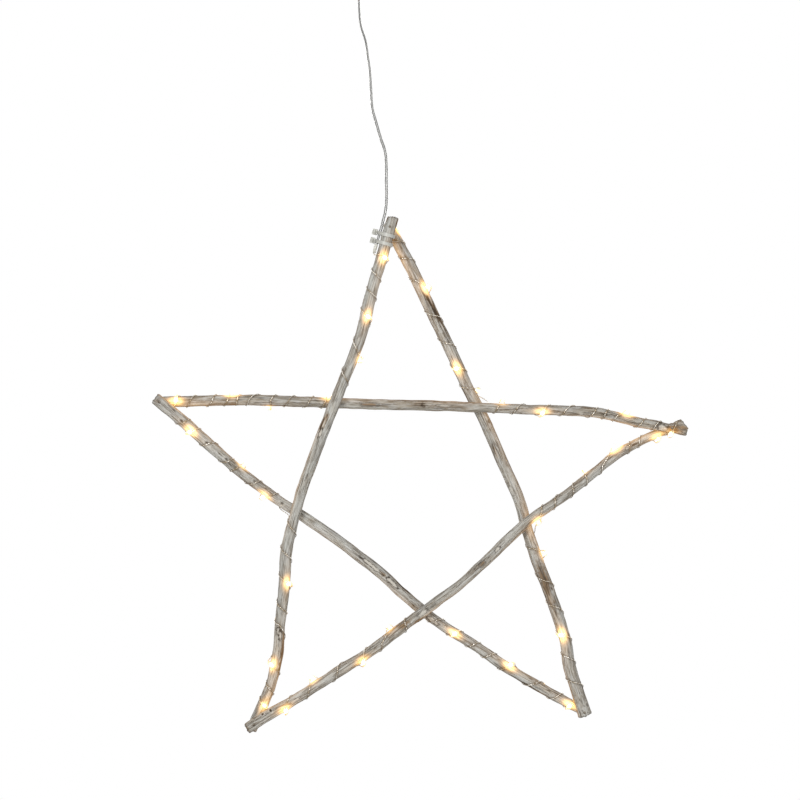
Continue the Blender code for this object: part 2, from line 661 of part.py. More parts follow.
def make_lead(branches, material, collection):
    """The lead from the sleeve, under the ties, up to the hook, over it and into its connector."""
    place, down = beside_left_leg(branches, SLEEVE_SHARE, SLEEVE_DIAMETER / 2)
    route = [place - down * (SLEEVE_LENGTH / 2 + SEAT_GAP)]
    for share in sorted(TIE_SHARES.values()):
        route.append(beside_left_leg(branches, share, LEAD_DIAMETER / 2)[0])
    free = smooth_path([*route, *LEAD_ROUTE, LOOP_ROUTE[0]], LEAD_POINT_PITCH)
    loop = smooth_path(LOOP_ROUTE, LOOP_POINT_PITCH)
    tube("power_lead", [*free[:-1], *loop], LEAD_DIAMETER, 2, material, collection)


def belt_outline(radius, second_radius, distance, offset):
    """Outline drawn round two circles, the first at the origin and the second along +X."""
    lean = math.acos((radius - second_radius) / distance)
    outline = []
    for step in range(TIE_ARC_POINTS):
        angle = lean + 2 * (math.pi - lean) * step / (TIE_ARC_POINTS - 1)
        outline.append(((radius + offset) * math.cos(angle), (radius + offset) * math.sin(angle)))
    for step in range(TIE_ARC_POINTS):
        angle = lean * (2 * step / (TIE_ARC_POINTS - 1) - 1)
        outline.append((distance + (second_radius + offset) * math.cos(angle),
                        (second_radius + offset) * math.sin(angle)))
    return outline


def flat_solid(name, outlines, thickness, material, collection):
    """A flat outline with its holes, given a thickness along Z."""
    curve = bpy.data.curves.new(name, "CURVE")
    curve.dimensions = "2D"
    curve.fill_mode = "BOTH"
    curve.extrude = thickness / 2
    for outline in outlines:
        spline = curve.splines.new("POLY")
        spline.points.add(len(outline) - 1)
        spline.use_cyclic_u = True
        for point, place in zip(spline.points, outline):
            point.co = (*place, 0, 1)
    return frozen(add_object(name, curve, material, collection))


def block(name, size, centre, bevel, collection):
    """A block with its edges bevelled, as a piece to be joined on."""
    shape = bmesh.new()
    bmesh.ops.create_cube(shape, size=1)
    bmesh.ops.scale(shape, verts=shape.verts, vec=size)
    bmesh.ops.translate(shape, verts=shape.verts, vec=centre)
    if bevel:
        bmesh.ops.bevel(shape, geom=shape.edges[:], offset=bevel, segments=1, affect="EDGES")
    mesh = bpy.data.meshes.new(name)
    shape.to_mesh(mesh)
    shape.free()
    return add_object(name, mesh, None, collection)


def make_tie(name, radius, distance, place, axis, outward, material, collection, cutters):
    """A strap round something round and the lead beside it, drawn tight into a locking head."""
    outlines = [belt_outline(radius, LEAD_DIAMETER / 2, distance, offset)
                for offset in (SEAT_GAP, SEAT_GAP + TIE_THICKNESS)]
    strap = flat_solid(name, outlines, TIE_WIDTH, material, collection)
    band = distance + LEAD_SEAT + TIE_THICKNESS / 2
    head = block(name + "_head", (TIE_HEAD_HEIGHT, TIE_HEAD_LENGTH, TIE_HEAD_WIDTH),
                 (band + TIE_HEAD_HEIGHT / 2, 0, 0), TIE_HEAD_BEVEL, cutters)
    tail_length = TIE_HEAD_LENGTH + TIE_TAIL_LENGTH
    tail = block(name + "_tail", (TIE_THICKNESS, tail_length, TIE_WIDTH),
                 (band + TIE_HEAD_HEIGHT * TIE_TAIL_HEIGHT_SHARE, -tail_length / 2, 0), 0, cutters)
    turn = Matrix((outward, axis.cross(outward), axis)).transposed().to_4x4()
    strap.matrix_world = Matrix.Translation(place) @ turn
    for piece in (head, tail):
        piece.matrix_world = strap.matrix_world
        combine(strap, "UNION", piece)


def make_ties(branches, material, collection, cutters):
    leg = branches["branch_left_leg"]
    for name, share in TIE_SHARES.items():
        run = leg.at_share(share)
        radius = leg.skin(run, TIE_WIDTH / 2)
        make_tie(name, radius, radius + LEAD_SEAT, leg.centre(run), leg.frame(run)[0],
                 leg.out(run, LEAD_HOLD_TURNS), material, collection, cutters)
    leg_apart = 2 * LEAD_SEAT - SEAT_GAP
    make_tie("loop_tie", LEAD_DIAMETER / 2, leg_apart,
             Vector((0, -leg_apart / 2, -LOOP_TIE_BELOW_CEILING)), Vector((0, 0, -1)),
             Vector((0, 1, 0)), material, collection, cutters)


def make_hook(material, collection, cutters):
    """A round ceiling plate with a question-mark hook of round wire, made as one."""
    radius = HOOK_BASE_DIAMETER / 2
    base_low = -HOOK_BASE_THICKNESS
    profile = ((0, 0), (radius, 0), (radius, base_low + HOOK_BASE_EDGE),
               (radius - HOOK_BASE_EDGE, base_low), (0, base_low))
    base = turned("ceiling_hook", profile, HOOK_BASE_SIDES, material, collection)
    bow_centre = HOOK_BOW_RADIUS - HOOK_BOW_BELOW_CEILING
    points = [(0, 0, base_low / 2), (0, 0, (base_low + bow_centre + HOOK_BOW_RADIUS) / 2)]
    for step in range(HOOK_BOW_POINTS + 1):
        degrees = HOOK_BOW_START_DEGREES - HOOK_BOW_SWEEP_DEGREES * step / HOOK_BOW_POINTS
        angle = math.radians(degrees)
        points.append((HOOK_BOW_RADIUS * math.cos(angle), 0,
                       bow_centre + HOOK_BOW_RADIUS * math.sin(angle)))
    wire = frozen(tube("hook_wire", points, HOOK_WIRE_DIAMETER, 2, None, cutters))
    combine(base, "UNION", wire)


def make_connector(material, collection):
    """A small round connector that grips the lead above and has a socket below."""
    outer = CONNECTOR_DIAMETER / 2
    inner = outer - CONNECTOR_EDGE
    grip = LEAD_SEAT
    socket = CONNECTOR_SOCKET_DIAMETER / 2
    low = -CONNECTOR_LENGTH
    socket_top = low + CONNECTOR_SOCKET_DEPTH
    profile = ((inner, 0), (outer, -CONNECTOR_EDGE), (outer, low + CONNECTOR_EDGE), (inner, low),
               (socket, low), (socket, socket_top), (0, socket_top), (0, -CONNECTOR_GRIP_DEPTH),
               (grip, -CONNECTOR_GRIP_DEPTH), (grip, 0))
    obj = turned("lead_connector", profile, CONNECTOR_SIDES, material, collection)
    x, y, z = LOOP_ROUTE[-1]
    obj.location = (x, y, z + CONNECTOR_GRIP_DEPTH - SEAT_GAP)


def main():
    clear_scene()
    star = new_collection("led_christmas_star")
    cutters = new_collection("cutters")
    materials = {name: new_material(name) for name in MATERIALS}
    branches = {name: Branch(name) for name in BRANCH_SHARES}
    nails = set_depths(branches)
    solids = {name: loft_branch(branch, materials["whitewashed_wood"], star)
              for name, branch in branches.items()}
    for nail in nails:
        make_nail(*nail, solids, materials["nail_steel"], star, cutters)
    make_string(branches, materials, star)
    make_sleeve(branches, materials["clear_pvc"], star)
    make_lead(branches, materials["clear_pvc"], star)
    make_ties(branches, materials["natural_nylon"], star, cutters)
    make_hook(materials["white_lacquer"], star, cutters)
    make_connector(materials["white_plastic"], star)


main()
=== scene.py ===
"""The looks of the hanging branch star: weathered branches, twisted wire with lit drops, a clear
lead with its ties, and the ceiling hook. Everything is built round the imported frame, in metres."""
import math

import bmesh
import bpy
import numpy as np
from mathutils import Matrix, Vector, kdtree, noise


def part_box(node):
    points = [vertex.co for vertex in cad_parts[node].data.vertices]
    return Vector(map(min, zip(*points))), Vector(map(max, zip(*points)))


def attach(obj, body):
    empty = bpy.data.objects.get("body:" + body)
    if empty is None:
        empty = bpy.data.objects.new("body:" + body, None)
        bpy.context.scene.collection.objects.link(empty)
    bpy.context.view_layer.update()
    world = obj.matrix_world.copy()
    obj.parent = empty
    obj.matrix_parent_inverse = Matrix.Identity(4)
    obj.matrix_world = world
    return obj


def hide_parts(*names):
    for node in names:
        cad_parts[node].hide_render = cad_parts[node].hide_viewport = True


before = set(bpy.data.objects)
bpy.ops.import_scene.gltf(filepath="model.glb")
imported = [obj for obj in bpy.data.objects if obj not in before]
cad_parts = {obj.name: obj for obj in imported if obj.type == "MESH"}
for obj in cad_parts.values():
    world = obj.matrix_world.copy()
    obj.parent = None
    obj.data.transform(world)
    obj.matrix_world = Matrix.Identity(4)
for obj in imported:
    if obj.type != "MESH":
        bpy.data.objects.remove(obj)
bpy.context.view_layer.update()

# The star as a whole, as in the frame
STAR_WIDTH = 0.500
STAR_HEIGHT = 0.483
STAR_LEFT_OF_HOOK = 0.193
STAR_FOOT_BELOW_CEILING = 0.761
BRANCH_DIAMETER = 0.0115
BRANCH_GAP = 0.0003
CROSSING_REACH_SHARE = 0.5
LOBES = 3
LOBE_SHARE = 0.03
LOBE_TURN_PITCH = 0.120

# The branches' fine surface
RING_PITCH = 0.0010
SIDES = 48
RIDGE_HEIGHT = 0.00022
RIDGE_WIDTH = 0.0014
RIDGE_LENGTH = 0.026
RIDGE_MIDDLE = 0.4
BUMP_HEIGHT = 0.00045
BUMP_WIDTH = 0.011
BUMP_MIDDLE = 0.3
SKIN_ROOM = 0.00015
FRAY_LENGTH = 0.0009
FRAY_WIDTH = 0.0013
END_ZONE_FRAYS = 4
END_ZONE_CUTS = 2.2
END_ROUND = 0.0005
END_RING_SHARES = (0.97, 0.72, 0.45, 0.2)
GLOW_NEAR = 0.0027
GLOW_REACH = 0.0200
GLOW_WIDE_SHARE = 0.50
GLOW_ALONG_SHARE = 0.30
END_DARK = 0.0010
END_DARK_LINE = (0.9, 2)
# Brown band on the left and right sides of a branch, seen from the front: partly thinner wash and partly
# painted shade where the sides turn away from the front
EDGE_SHARE = 0.16
EDGE_BARE_AND_SHADE = 0.6
HOLLOW_SHARE = 0.85
HOLLOW_STEEPNESS = 12
RIM_SHARE = 0.17
RIM_DARK_SHARE = 0.9
SHADE_REACH = 0.0007
MARK_RAG_WIDTH = 0.0022
MARK_RAG_SHARE = 0.45
BARE_DEPTH_SHARE = 0.012
KNOT_HEIGHT_SHARE = 0.030
KNOT_EYE_REACH = 0.9
KNOT_RING_REACH = 1.7
KNOT_RING_WIDTH = 0.45
KNOT_PALE_SHARE = 0.7
KNOT_SWELL_REACH = 2
KNOT_DIP = 2.4
SCAR_RIM_SHARE = 0.016
SCAR_DEPTH_SHARE = 0.030
TORN_WIDTH = 0.0011
TORN_LENGTH = 0.0120
TORN_BARE_SHARE = 0.8
TORN_PALE_SHARE = 0.8
TORN_DARK_LINE = (0.1, 4)
TORN_PALE_LINE = (-0.5, -4)

# Wire, drops, lead
WIRE_DIAMETER = 0.0009
STRAND_DIAMETER = 0.00045
STRAND_TURN = 0.0056
STRAND_STEPS = 9
STRAND_SIDES = 6
WIRE_SEAT_GAP = 0.00005
DROP_DIAMETER = 0.0046
DROP_LENGTH = 0.0075
DROP_SEAT_GAP = 0.0003
CORE_LENGTH = 0.0044
CORE_DIAMETER = 0.0026
CURL_POINTS = 24
HOP_POINTS = 9
LEAD_DIAMETER = 0.0028
LEAD_HOLD_TURNS = -0.25
LEAD_JACKET_DIAMETER = 0.00152
LEAD_CORE_DIAMETER = 0.00050
LEAD_TWIST = 1.200
LEAD_FLAT_RUN = 0.042
# Where the painted shade lines lie on the lead's flanks, in degrees round each jacket, and their half width
LEAD_SHADE_LINE_DEGREES = 50
LEAD_SHADE_LINE_HALF_DEGREES = 32
LEAD_STEP = 0.0012
LEAD_OPEN_SHARE = 0.74
LEAD_ARC_POINTS = 13
SLEEVE_DIAMETER = 0.0035
SLEEVE_LENGTH = 0.0090
SLEEVE_MOUTH_SHARE = 0.8
SLEEVE_LIP_SHARE = 0.06
SLEEVE_RIPPLED_SHARE = 0.80
SLEEVE_RIPPLES = 8
SLEEVE_RIPPLE_ANGLE = 1.9
SLEEVE_RIPPLE_SHARE = 0.05
SLEEVE_TIP_SHARES = ((0.62, 0.93), (0.4, 1), (0, 1))
SEAT_GAP = 0.0003

# A nail's head, as radii and heights in shares of the head's own, and the depth of its point as a
# share of the nail's length
NAIL_HEAD_SHARES = ((0, 1), (0.55, 0.86), (0.9, 0.5), (1, 0.2), (0.95, 0), (0.5, -0.1))
NAIL_POINT_SHARE = 0.97

# Ties
TIE_WIDTH = 0.0033
TIE_THICKNESS = 0.0009
TIE_HEAD_LENGTH = 0.0056
TIE_HEAD_WIDTH = 0.0054
TIE_HEAD_HEIGHT = 0.0048
TIE_TAIL_LENGTH = 0.0016
TIE_TAIL_HEIGHT_SHARE = 0.6
TIE_ARC_POINTS = 28
TIE_EDGE_SHARE = 0.28
TIE_TOOTH_SHARE = 0.10
TIE_WINDOW_SHARES = (0.3, 0.42, 0.5)
TIE_WINDOW_PLACE = (0.88, 0.1)
TIE_HEAD_EDGE = 0.0006
TIE_WINDOW_EDGE = 0.00015
TIE_TAIL_EDGE = 0.0002
LOOP_TIE_BELOW_CEILING = 0.0530

# Hook and connector
HOOK_BASE_DIAMETER = 0.0240
HOOK_BASE_THICKNESS = 0.0030
HOOK_BASE_EDGE = 0.0010
HOOK_WIRE_DIAMETER = 0.0030
HOOK_BOW_RADIUS = 0.0080
HOOK_BOW_BELOW_CEILING = 0.0260
HOOK_BOW_START_DEGREES = 50
HOOK_BOW_SWEEP_DEGREES = 255
HOOK_BOW_STEPS = 12
HOOK_FOOT_SHARE = 0.9
HOOK_STEM_START_SHARE = 0.8
CONNECTOR_DIAMETER = 0.0050
CONNECTOR_LENGTH = 0.0130
CONNECTOR_EDGE = 0.0006
CONNECTOR_GRIP_DEPTH = 0.0030
CONNECTOR_SOCKET_DIAMETER = 0.0026
CONNECTOR_SOCKET_DEPTH = 0.0050
CONNECTOR_CORE_RADIUS = 0.0002
CONNECTOR_GROOVES = 5
CONNECTOR_GROOVE_SHARE = 0.92
CONNECTOR_FIRST_GROOVE = 0.22
CONNECTOR_GROOVE_PITCH = 0.09
CONNECTOR_GROOVE_STEPS = (0, 0.00025, 0.0006, 0.00085)

# The photograph's view
STAR_PIXELS = 536.5
METRES_PER_PIXEL = STAR_WIDTH / STAR_PIXELS
PHOTO_PIXELS = 800
PHOTO_TOP_BELOW_CEILING = 0.078
HOOK_PIXEL = 359
LENS_MM = 135
SENSOR_MM = 36
FLOOR_BELOW_CEILING = 1.25
FLOOR_WIDTH = 4.0
FLOOR_PALENESS = 0.32
WORLD_SOFTNESS = 0.30
# The lamps: name, offset from the middle of the view, size and power
LAMPS = (
    ("key", (-0.9, -2.2, 0.9), 0.8, 34), ("fill", (1.0, -2.4, -0.1), 1.0, 14),
    ("back_left", (-1.6, 2.0, 0.4), 0.8, 16), ("back_right", (1.6, 2.0, 0.6), 0.8, 14),
)

# Each branch's centre line as shares of the star's width from its left edge and of its height from
# its foot, with the thickness as a share of the branches' diameter
BRANCH_SHARES = {
    "branch_left_leg": (
        (0.45, 0.996, 0.92), (0.443, 0.973, 0.99), (0.4326, 0.9332, 1), (0.4108, 0.8552, 0.97),
        (0.402, 0.8166, 1.04), (0.3873, 0.7587, 0.94), (0.3579, 0.6815, 0.92), (0.3288, 0.6042, 0.98),
        (0.2863, 0.4884, 0.94), (0.2675, 0.4228, 0.9), (0.2511, 0.3494, 1), (0.247, 0.2799, 0.96),
        (0.2391, 0.2143, 0.88), (0.235, 0.1564, 0.93), (0.2216, 0.0907, 0.89), (0.1987, 0.0367, 0.96),
        (0.1847, 0.0029, 0.86),
    ),
    "branch_right_leg": (
        (0.4386, 0.9855, 0.93), (0.4645, 0.9332, 1), (0.4865, 0.89, 0.99), (0.5202, 0.8166, 0.99),
        (0.5562, 0.7394, 0.97), (0.5903, 0.6622, 0.97), (0.6179, 0.6081, 0.97), (0.6516, 0.527, 0.97),
        (0.6843, 0.4498, 0.97), (0.7016, 0.3861, 0.97), (0.7215, 0.3243, 1.03), (0.7459, 0.2568, 1.01),
        (0.77, 0.1795, 1), (0.7778, 0.1303, 1.04), (0.7925, 0.0811, 1.07), (0.8017, 0.0521, 1.12),
        (0.8069, 0.0328, 1.18),
    ),
    "branch_crossbar": (
        (0.0076, 0.638, 0.88), (0.044, 0.639, 0.92), (0.1139, 0.6413, 0.89), (0.2015, 0.6421, 0.91),
        (0.332, 0.6365, 0.89), (0.4624, 0.6326, 0.88), (0.5463, 0.6303, 0.87), (0.6488, 0.6264, 0.82),
        (0.729, 0.623, 0.83), (0.8082, 0.6199, 0.87), (0.8557, 0.6124, 0.85), (0.8949, 0.6017, 0.81),
        (0.9303, 0.5946, 0.86), (0.962, 0.5884, 0.79), (0.9797, 0.5888, 1.09), (0.9979, 0.5888, 1.38),
    ),
    "branch_falling": (
        (0.0058, 0.6463, 0.99), (0.0535, 0.6054, 1), (0.0915, 0.5707, 1), (0.1295, 0.5357, 0.96),
        (0.1648, 0.5041, 0.91), (0.2205, 0.4589, 0.86), (0.2583, 0.4324, 0.86), (0.2966, 0.4071, 0.92),
        (0.3441, 0.3732, 0.91), (0.4252, 0.3079, 0.93), (0.4727, 0.2635, 0.91), (0.5392, 0.2085, 0.86),
        (0.6032, 0.1666, 0.88), (0.6507, 0.1322, 0.91), (0.6982, 0.1025, 0.88), (0.7625, 0.0643, 0.87),
        (0.8119, 0.0378, 0.85),
    ),
    "branch_rising": (
        (0.1765, 0.0089, 0.91), (0.2257, 0.0405, 0.96), (0.265, 0.0641, 0.84), (0.3133, 0.0961, 0.89),
        (0.3515, 0.1216, 0.93), (0.3944, 0.149, 0.88), (0.4315, 0.1759, 0.89), (0.4727, 0.2095, 0.87),
        (0.5062, 0.2355, 0.88), (0.5743, 0.2871, 0.81), (0.6209, 0.3311, 0.84), (0.6675, 0.3778, 0.88),
        (0.7047, 0.4127, 0.79), (0.7476, 0.4421, 0.81), (0.783, 0.4685, 0.81), (0.839, 0.5147, 0.79),
        (0.8643, 0.5351, 0.83), (0.9098, 0.5622, 0.76), (0.9377, 0.5753, 0.76), (0.9741, 0.5907, 0.73),
    ),
}

# Where two branches cross, the front one first; the first five are nailed tips
CROSSINGS = (
    ("branch_left_leg", "branch_right_leg", "tip_nail_top"),
    ("branch_crossbar", "branch_rising", "tip_nail_right"),
    ("branch_right_leg", "branch_falling", "tip_nail_lower_right"),
    ("branch_rising", "branch_left_leg", "tip_nail_lower_left"),
    ("branch_falling", "branch_crossbar", "tip_nail_left"),
    ("branch_left_leg", "branch_crossbar", None),
    ("branch_crossbar", "branch_right_leg", None),
    ("branch_rising", "branch_right_leg", None),
    ("branch_rising", "branch_falling", None),
    ("branch_left_leg", "branch_falling", None),
)

# The winding, arm by arm along the star's outer edge. A key is a place on the branch's centre line,
# as a share of the star's height on the two legs and of its width on the others, then the winding
# angle in turns, whole at the front and a quarter more at the right or upper side, and 1 where a
# drop sits.
WINDING_SHARES = (
    ("branch_left_leg", (
        (0.919, -0.12, 0), (0.9176, 0.06, 1), (0.8824, 1, 0), (0.8649, 1.5, 1), (0.8483, 2, 0),
        (0.8035, 3.04, 1), (0.7415, 4, 0), (0.7255, 4.25, 1), (0.6865, 5, 0), (0.6602, 5.6, 0))),
    ("branch_crossbar", (
        (0.3345, 0.38, 0), (0.329, 0.22, 1), (0.2928, -1, 0), (0.2544, -2, 0), (0.2214, -3, 0),
        (0.218, -3.36, 1), (0.181, -4, 0), (0.1586, -5, 0), (0.1484, -5.75, 1), (0.1407, -6, 0),
        (0.1124, -7, 0), (0.0915, -7.5, 1), (0.0705, -8, 0), (0.0449, -8.97, 1), (0.0356, -9.35, 0))),
    ("branch_falling", (
        (0.0449, -0.5, 0), (0.0604, 0, 0), (0.0753, 0.95, 1), (0.1046, 2, 0), (0.1418, 3, 0), (0.1568, 4, 0),
        (0.1623, 4.25, 1), (0.1912, 5, 0), (0.2136, 5.86, 1), (0.2229, 6.05, 0), (0.2425, 6.7, 0))),
    ("branch_left_leg", (
        (0.4131, -0.3, 0), (0.3958, 0, 0), (0.3463, 1, 0), (0.2907, 2.08, 1), (0.2413, 3, 0),
        (0.2239, 3.5, 1), (0.2085, 4, 0), (0.1313, 4.91, 1), (0.0849, 6, 0), (0.055, 7.03, 1),
        (0.048, 7.27, 0))),
    ("branch_rising", (
        (0.237, 0.55, 0), (0.2462, 0.91, 1), (0.26, 1.15, 0), (0.2928, 2, 0), (0.3077, 2.25, 1),
        (0.3459, 3, 0), (0.3895, 3.9, 1), (0.399, 4.1, 0), (0.4289, 5, 0), (0.4513, 5.25, 1), (0.4727, 6, 0),
        (0.4848, 6.6, 0))),
    ("branch_falling", (
        (0.5165, -0.35, 0), (0.5295, 0, 0), (0.5642, 1, 1), (0.5989, 2, 0), (0.6278, 3, 0),
        (0.6637, 4.09, 1), (0.7122, 5, 0), (0.7327, 5.5, 1), (0.7542, 6, 0), (0.7795, 6.97, 1),
        (0.784, 7.12, 0))),
    ("branch_right_leg", (
        (0.07, 0.68, 0), (0.0985, 0, 0), (0.1456, -1, 0), (0.1902, -2.05, 1), (0.2432, -3, 0),
        (0.2683, -3.5, 1), (0.2925, -4, 0), (0.3407, -4.75, 1), (0.3542, -5, 0), (0.3822, -5.7, 0))),
    ("branch_rising", (
        (0.7122, 0.79, 1), (0.7257, 1, 0), (0.7501, 2, 0), (0.7842, 3, 0), (0.8091, 4, 0), (0.8147, 4.3, 1),
        (0.8384, 5, 0), (0.8688, 5.25, 1), (0.8902, 6, 0), (0.9079, 7, 0), (0.94, 7.88, 1), (0.954, 7.78, 0),
        (0.9741, 7.72, 0))),
    ("branch_crossbar", (
        (0.982, -0.45, 0), (0.98, -0.75, 0), (0.9745, -0.95, 0), (0.9657, -1.12, 1), (0.9377, -2, 0),
        (0.9116, -3, 0), (0.8809, -3.75, 1), (0.8641, -4, 0), (0.8436, -5, 0), (0.8235, -6, 0),
        (0.798, -6.5, 1), (0.7696, -7, 0), (0.7271, -8.06, 1), (0.6787, -9, 0), (0.6516, -9.75, 1),
        (0.6431, -10, 0), (0.6283, -10.6, 0))),
    ("branch_right_leg", (
        (0.6535, 0.32, 1), (0.6651, 0, 0), (0.7046, -1.04, 1), (0.7514, -2, 0), (0.8056, -3, 0),
        (0.8552, -3.86, 1), (0.8714, -4, 0), (0.9158, -5, 0), (0.9486, -6, 0), (0.968, -6.74, 1))),
)

# Places on the left leg, as shares of the star's height
TIE_SHARES = {"cable_tie_upper": 0.9595, "cable_tie_lower": 0.9431}
SLEEVE_SHARE = 0.9290

# Marks in the wood: kind, place on the branch as in the winding, turns round it, half length and
# half width as shares of the branches' diameter, strength. A knot is a dark eye in a pale ring, a
# scar a pale hollow with a dark rim, an eye a brown one, bare wood shows brown streaks and torn
# wood near-black ones.
MARK_SHARES = {
    "branch_left_leg": (
        ("bare", 0.992, -0.2, 0.35, 0.2, 0.8), ("bare", 0.985, 0.2, 0.4, 0.15, 0.7),
        ("torn", 0.604, -0.07, 0.55, 0.18, 1.6), ("torn", 0.59, -0.11, 0.45, 0.18, 1.6),
        ("scar", 0.5775, -0.07, 0.38, 0.15, 1.3), ("torn", 0.2075, -0.02, 0.6, 0.36, 0.6),
        ("scar", 0.1975, -0.03, 0.36, 0.17, 1.3), ("scar", 0.1905, 0.03, 0.36, 0.17, 1.3),
        ("bare", 0.165, 0.14, 1, 0.11, 1.9), ("bare", 0.132, 0.15, 0.6, 0.12, 1.6),
        ("scar", 0.075, 0.03, 0.5, 0.25, 0.6), ("bare", 0.02, 0.05, 0.5, 0.3, 0.6),
    ),
    "branch_right_leg": (
        ("torn", 0.806, 0.1, 1.75, 0.26, 1.5), ("torn", 0.838, 0.04, 0.8, 0.12, 0.9),
        ("bare", 0.655, -0.2, 0.5, 0.16, 1), ("torn", 0.544, -0.06, 0.75, 0.26, 1),
        ("scar", 0.47, -0.1, 0.5, 0.18, 0.6), ("bare", 0.3, 0, 1.9, 0.45, 0.9),
        ("torn", 0.262, -0.05, 1.6, 0.4, 0.7), ("knot", 0.276, 0.1, 0.11, 0.08, 0.9),
        ("torn", 0.1, 0.2, 0.8, 0.12, 1), ("knot", 0.0535, 0.14, 0.14, 0.11, 1),
        ("knot", 0.046, -0.03, 0.09, 0.07, 0.9), ("knot", 0.053, 0.04, 0.08, 0.06, 0.9),
        ("knot", 0.04, 0.08, 0.08, 0.06, 0.9),
    ),
    "branch_crossbar": (
        ("bare", 0.015, 0, 0.3, 0.45, 0.8), ("bare", 0.149, -0.12, 0.5, 0.2, 0.8),
        ("eye", 0.4065, -0.02, 0.73, 0.2, 0.8), ("torn", 0.5, 0.02, 0.75, 0.34, 0.7),
        ("eye", 0.507, 0.02, 0.17, 0.2, 1), ("scar", 0.515, 0.04, 0.45, 0.12, 0.6),
        ("scar", 0.545, 0.02, 0.6, 0.1, 0.7), ("bare", 0.56, 0, 2.5, 0.4, 0.6),
        ("bare", 0.81, 0.12, 0.6, 0.1, 1), ("bare", 0.84, 0, 0.6, 0.2, 0.7),
        ("scar", 0.95, -0.03, 0.4, 0.3, 1.1), ("bare", 0.968, -0.05, 0.45, 0.4, 1),
        ("bare", 0.988, 0, 0.8, 0.6, 0.7),
    ),
    "branch_falling": (
        ("bare", 0.012, 0, 0.25, 0.5, 0.7), ("knot", 0.056, 0, 0.15, 0.11, 1),
        ("knot", 0.1025, 0, 0.17, 0.13, 1), ("knot", 0.1375, 0.02, 0.14, 0.11, 0.9),
        ("knot", 0.153, -0.12, 0.09, 0.09, 0.9), ("bare", 0.182, -0.2, 1.1, 0.12, 1.3),
        ("knot", 0.1885, 0.05, 0.12, 0.1, 0.7), ("knot", 0.242, 0, 0.15, 0.11, 0.9),
        ("scar", 0.4084, 0.02, 1.15, 0.13, 1.2), ("bare", 0.429, 0.03, 0.4, 0.15, 1.2),
        ("scar", 0.4457, 0.03, 0.6, 0.16, 1.3), ("torn", 0.465, 0.16, 1.5, 0.12, 1),
        ("scar", 0.5255, -0.06, 0.62, 0.2, 1), ("bare", 0.7, -0.17, 2.2, 0.14, 0.9),
    ),
    "branch_rising": (
        ("bare", 0.178, 0, 0.18, 0.5, 0.9), ("knot", 0.2114, 0.13, 0.1, 0.1, 1.5),
        ("knot", 0.225, 0.1, 0.1, 0.13, 1.5), ("knot", 0.2095, 0.2, 0.07, 0.07, 1.2),
        ("torn", 0.265, -0.03, 0.75, 0.3, 0.9), ("scar", 0.268, -0.02, 0.5, 0.1, 1),
        ("bare", 0.4705, 0.05, 0.7, 0.3, 1), ("bare", 0.49, -0.15, 0.6, 0.15, 0.9),
        ("scar", 0.5045, -0.02, 0.5, 0.2, 0.9), ("eye", 0.6162, 0.03, 0.33, 0.22, 0.8),
        ("scar", 0.6442, 0.02, 0.3, 0.15, 1.2), ("scar", 0.888, 0.02, 0.35, 0.14, 1),
        ("bare", 0.897, 0, 0.6, 0.12, 1.1),
    ),
}
# Marks on the back of every branch, with the place as a share of its length
BACK_MARKS = (
    ("knot", 0.13, 0.46, 0.14, 0.12, 0.9), ("bare", 0.27, 0.58, 0.9, 0.22, 0.9),
    ("scar", 0.41, 0.42, 0.5, 0.2, 0.8), ("knot", 0.58, 0.6, 0.16, 0.13, 1),
    ("bare", 0.71, 0.44, 1.2, 0.25, 0.9), ("eye", 0.86, 0.55, 0.45, 0.22, 0.8),
)
# Drops whose chip is turned away or half hidden, and how strong a drop's light on the wood is where
# it isn't 1
DIM_DROPS = (4, 6, 11, 16, 20, 27, 28, 29, 31, 36, 37)
LIGHT_SHARES = {
    4: 0.6, 5: 1.3, 6: 1.3, 7: 2.4, 9: 1.3, 10: 1.3, 11: 0.9, 16: 0.6, 18: 0.8, 20: 0.6, 25: 1.4, 27: 0.9,
    28: 0.9, 29: 0.35, 30: 2.2, 32: 0.45, 33: 2.0, 36: 0.6, 37: 0.4, 38: 1.2, 39: 1.3, 40: 1.8,
}
# How brown each branch is, how much of the white wash is left on it, and how far its first and its
# last sawn end are cut back on the right or upper side and on the left or lower one, as shares of
# the branches' diameter
BRANCH_LOOKS = {
    "branch_left_leg": (0.25, 0.85, ((0, 0.15), (0, 0.06))),
    "branch_right_leg": (0.75, 1.05, ((0.04, 0), (0.12, 0))),
    "branch_crossbar": (1, 0.9, ((0.05, 0), (0.5, 0.12))),
    "branch_falling": (0.35, 1.1, ((0, 0.05), (0.05, 0))),
    "branch_rising": (0.5, 0.7, ((0.04, 0), (0, 0.05))),
}
# The noises in the wood, streaks, fibres, blotches, wash, checks and hairlines: width and length of
# their features, detail, roughness and distortion
WOOD_NOISES = (
    (0.0016, 0.024, 4, 0.66, 0.3), (0.0006, 0.012, 3, 0.7, 0), (0.006, 0.022, 4, 0.6, 0.6),
    (0.0026, 0.013, 5, 0.72, 0.8), (0.0021, 0.04, 3, 0.5, 0.2), (0.0011, 0.03, 2, 0.5, 0.1),
)

# The free lead's route from the ties up to its loop
LEAD_ROUTE = (
    (0.0211, -0.0057, -0.2905), (0.0227, -0.0056, -0.2834), (0.0245, -0.0054, -0.2763),
    (0.0257, -0.0051, -0.2644), (0.0255, -0.0046, -0.2474), (0.0254, -0.0041, -0.2304),
    (0.0241, -0.0038, -0.2189), (0.0203, -0.0034, -0.2075), (0.0156, -0.0029, -0.1913),
    (0.0128, -0.0026, -0.1809), (0.0117, -0.0023, -0.1712), (0.0103, -0.0015, -0.1463),
    (0.0084, -0.001, -0.1315), (0.0061, -0.0004, -0.116), (0.0014, 0.0003, -0.1), (0, 0.0012, -0.078),
    (0, 0.0015, -0.066),
)
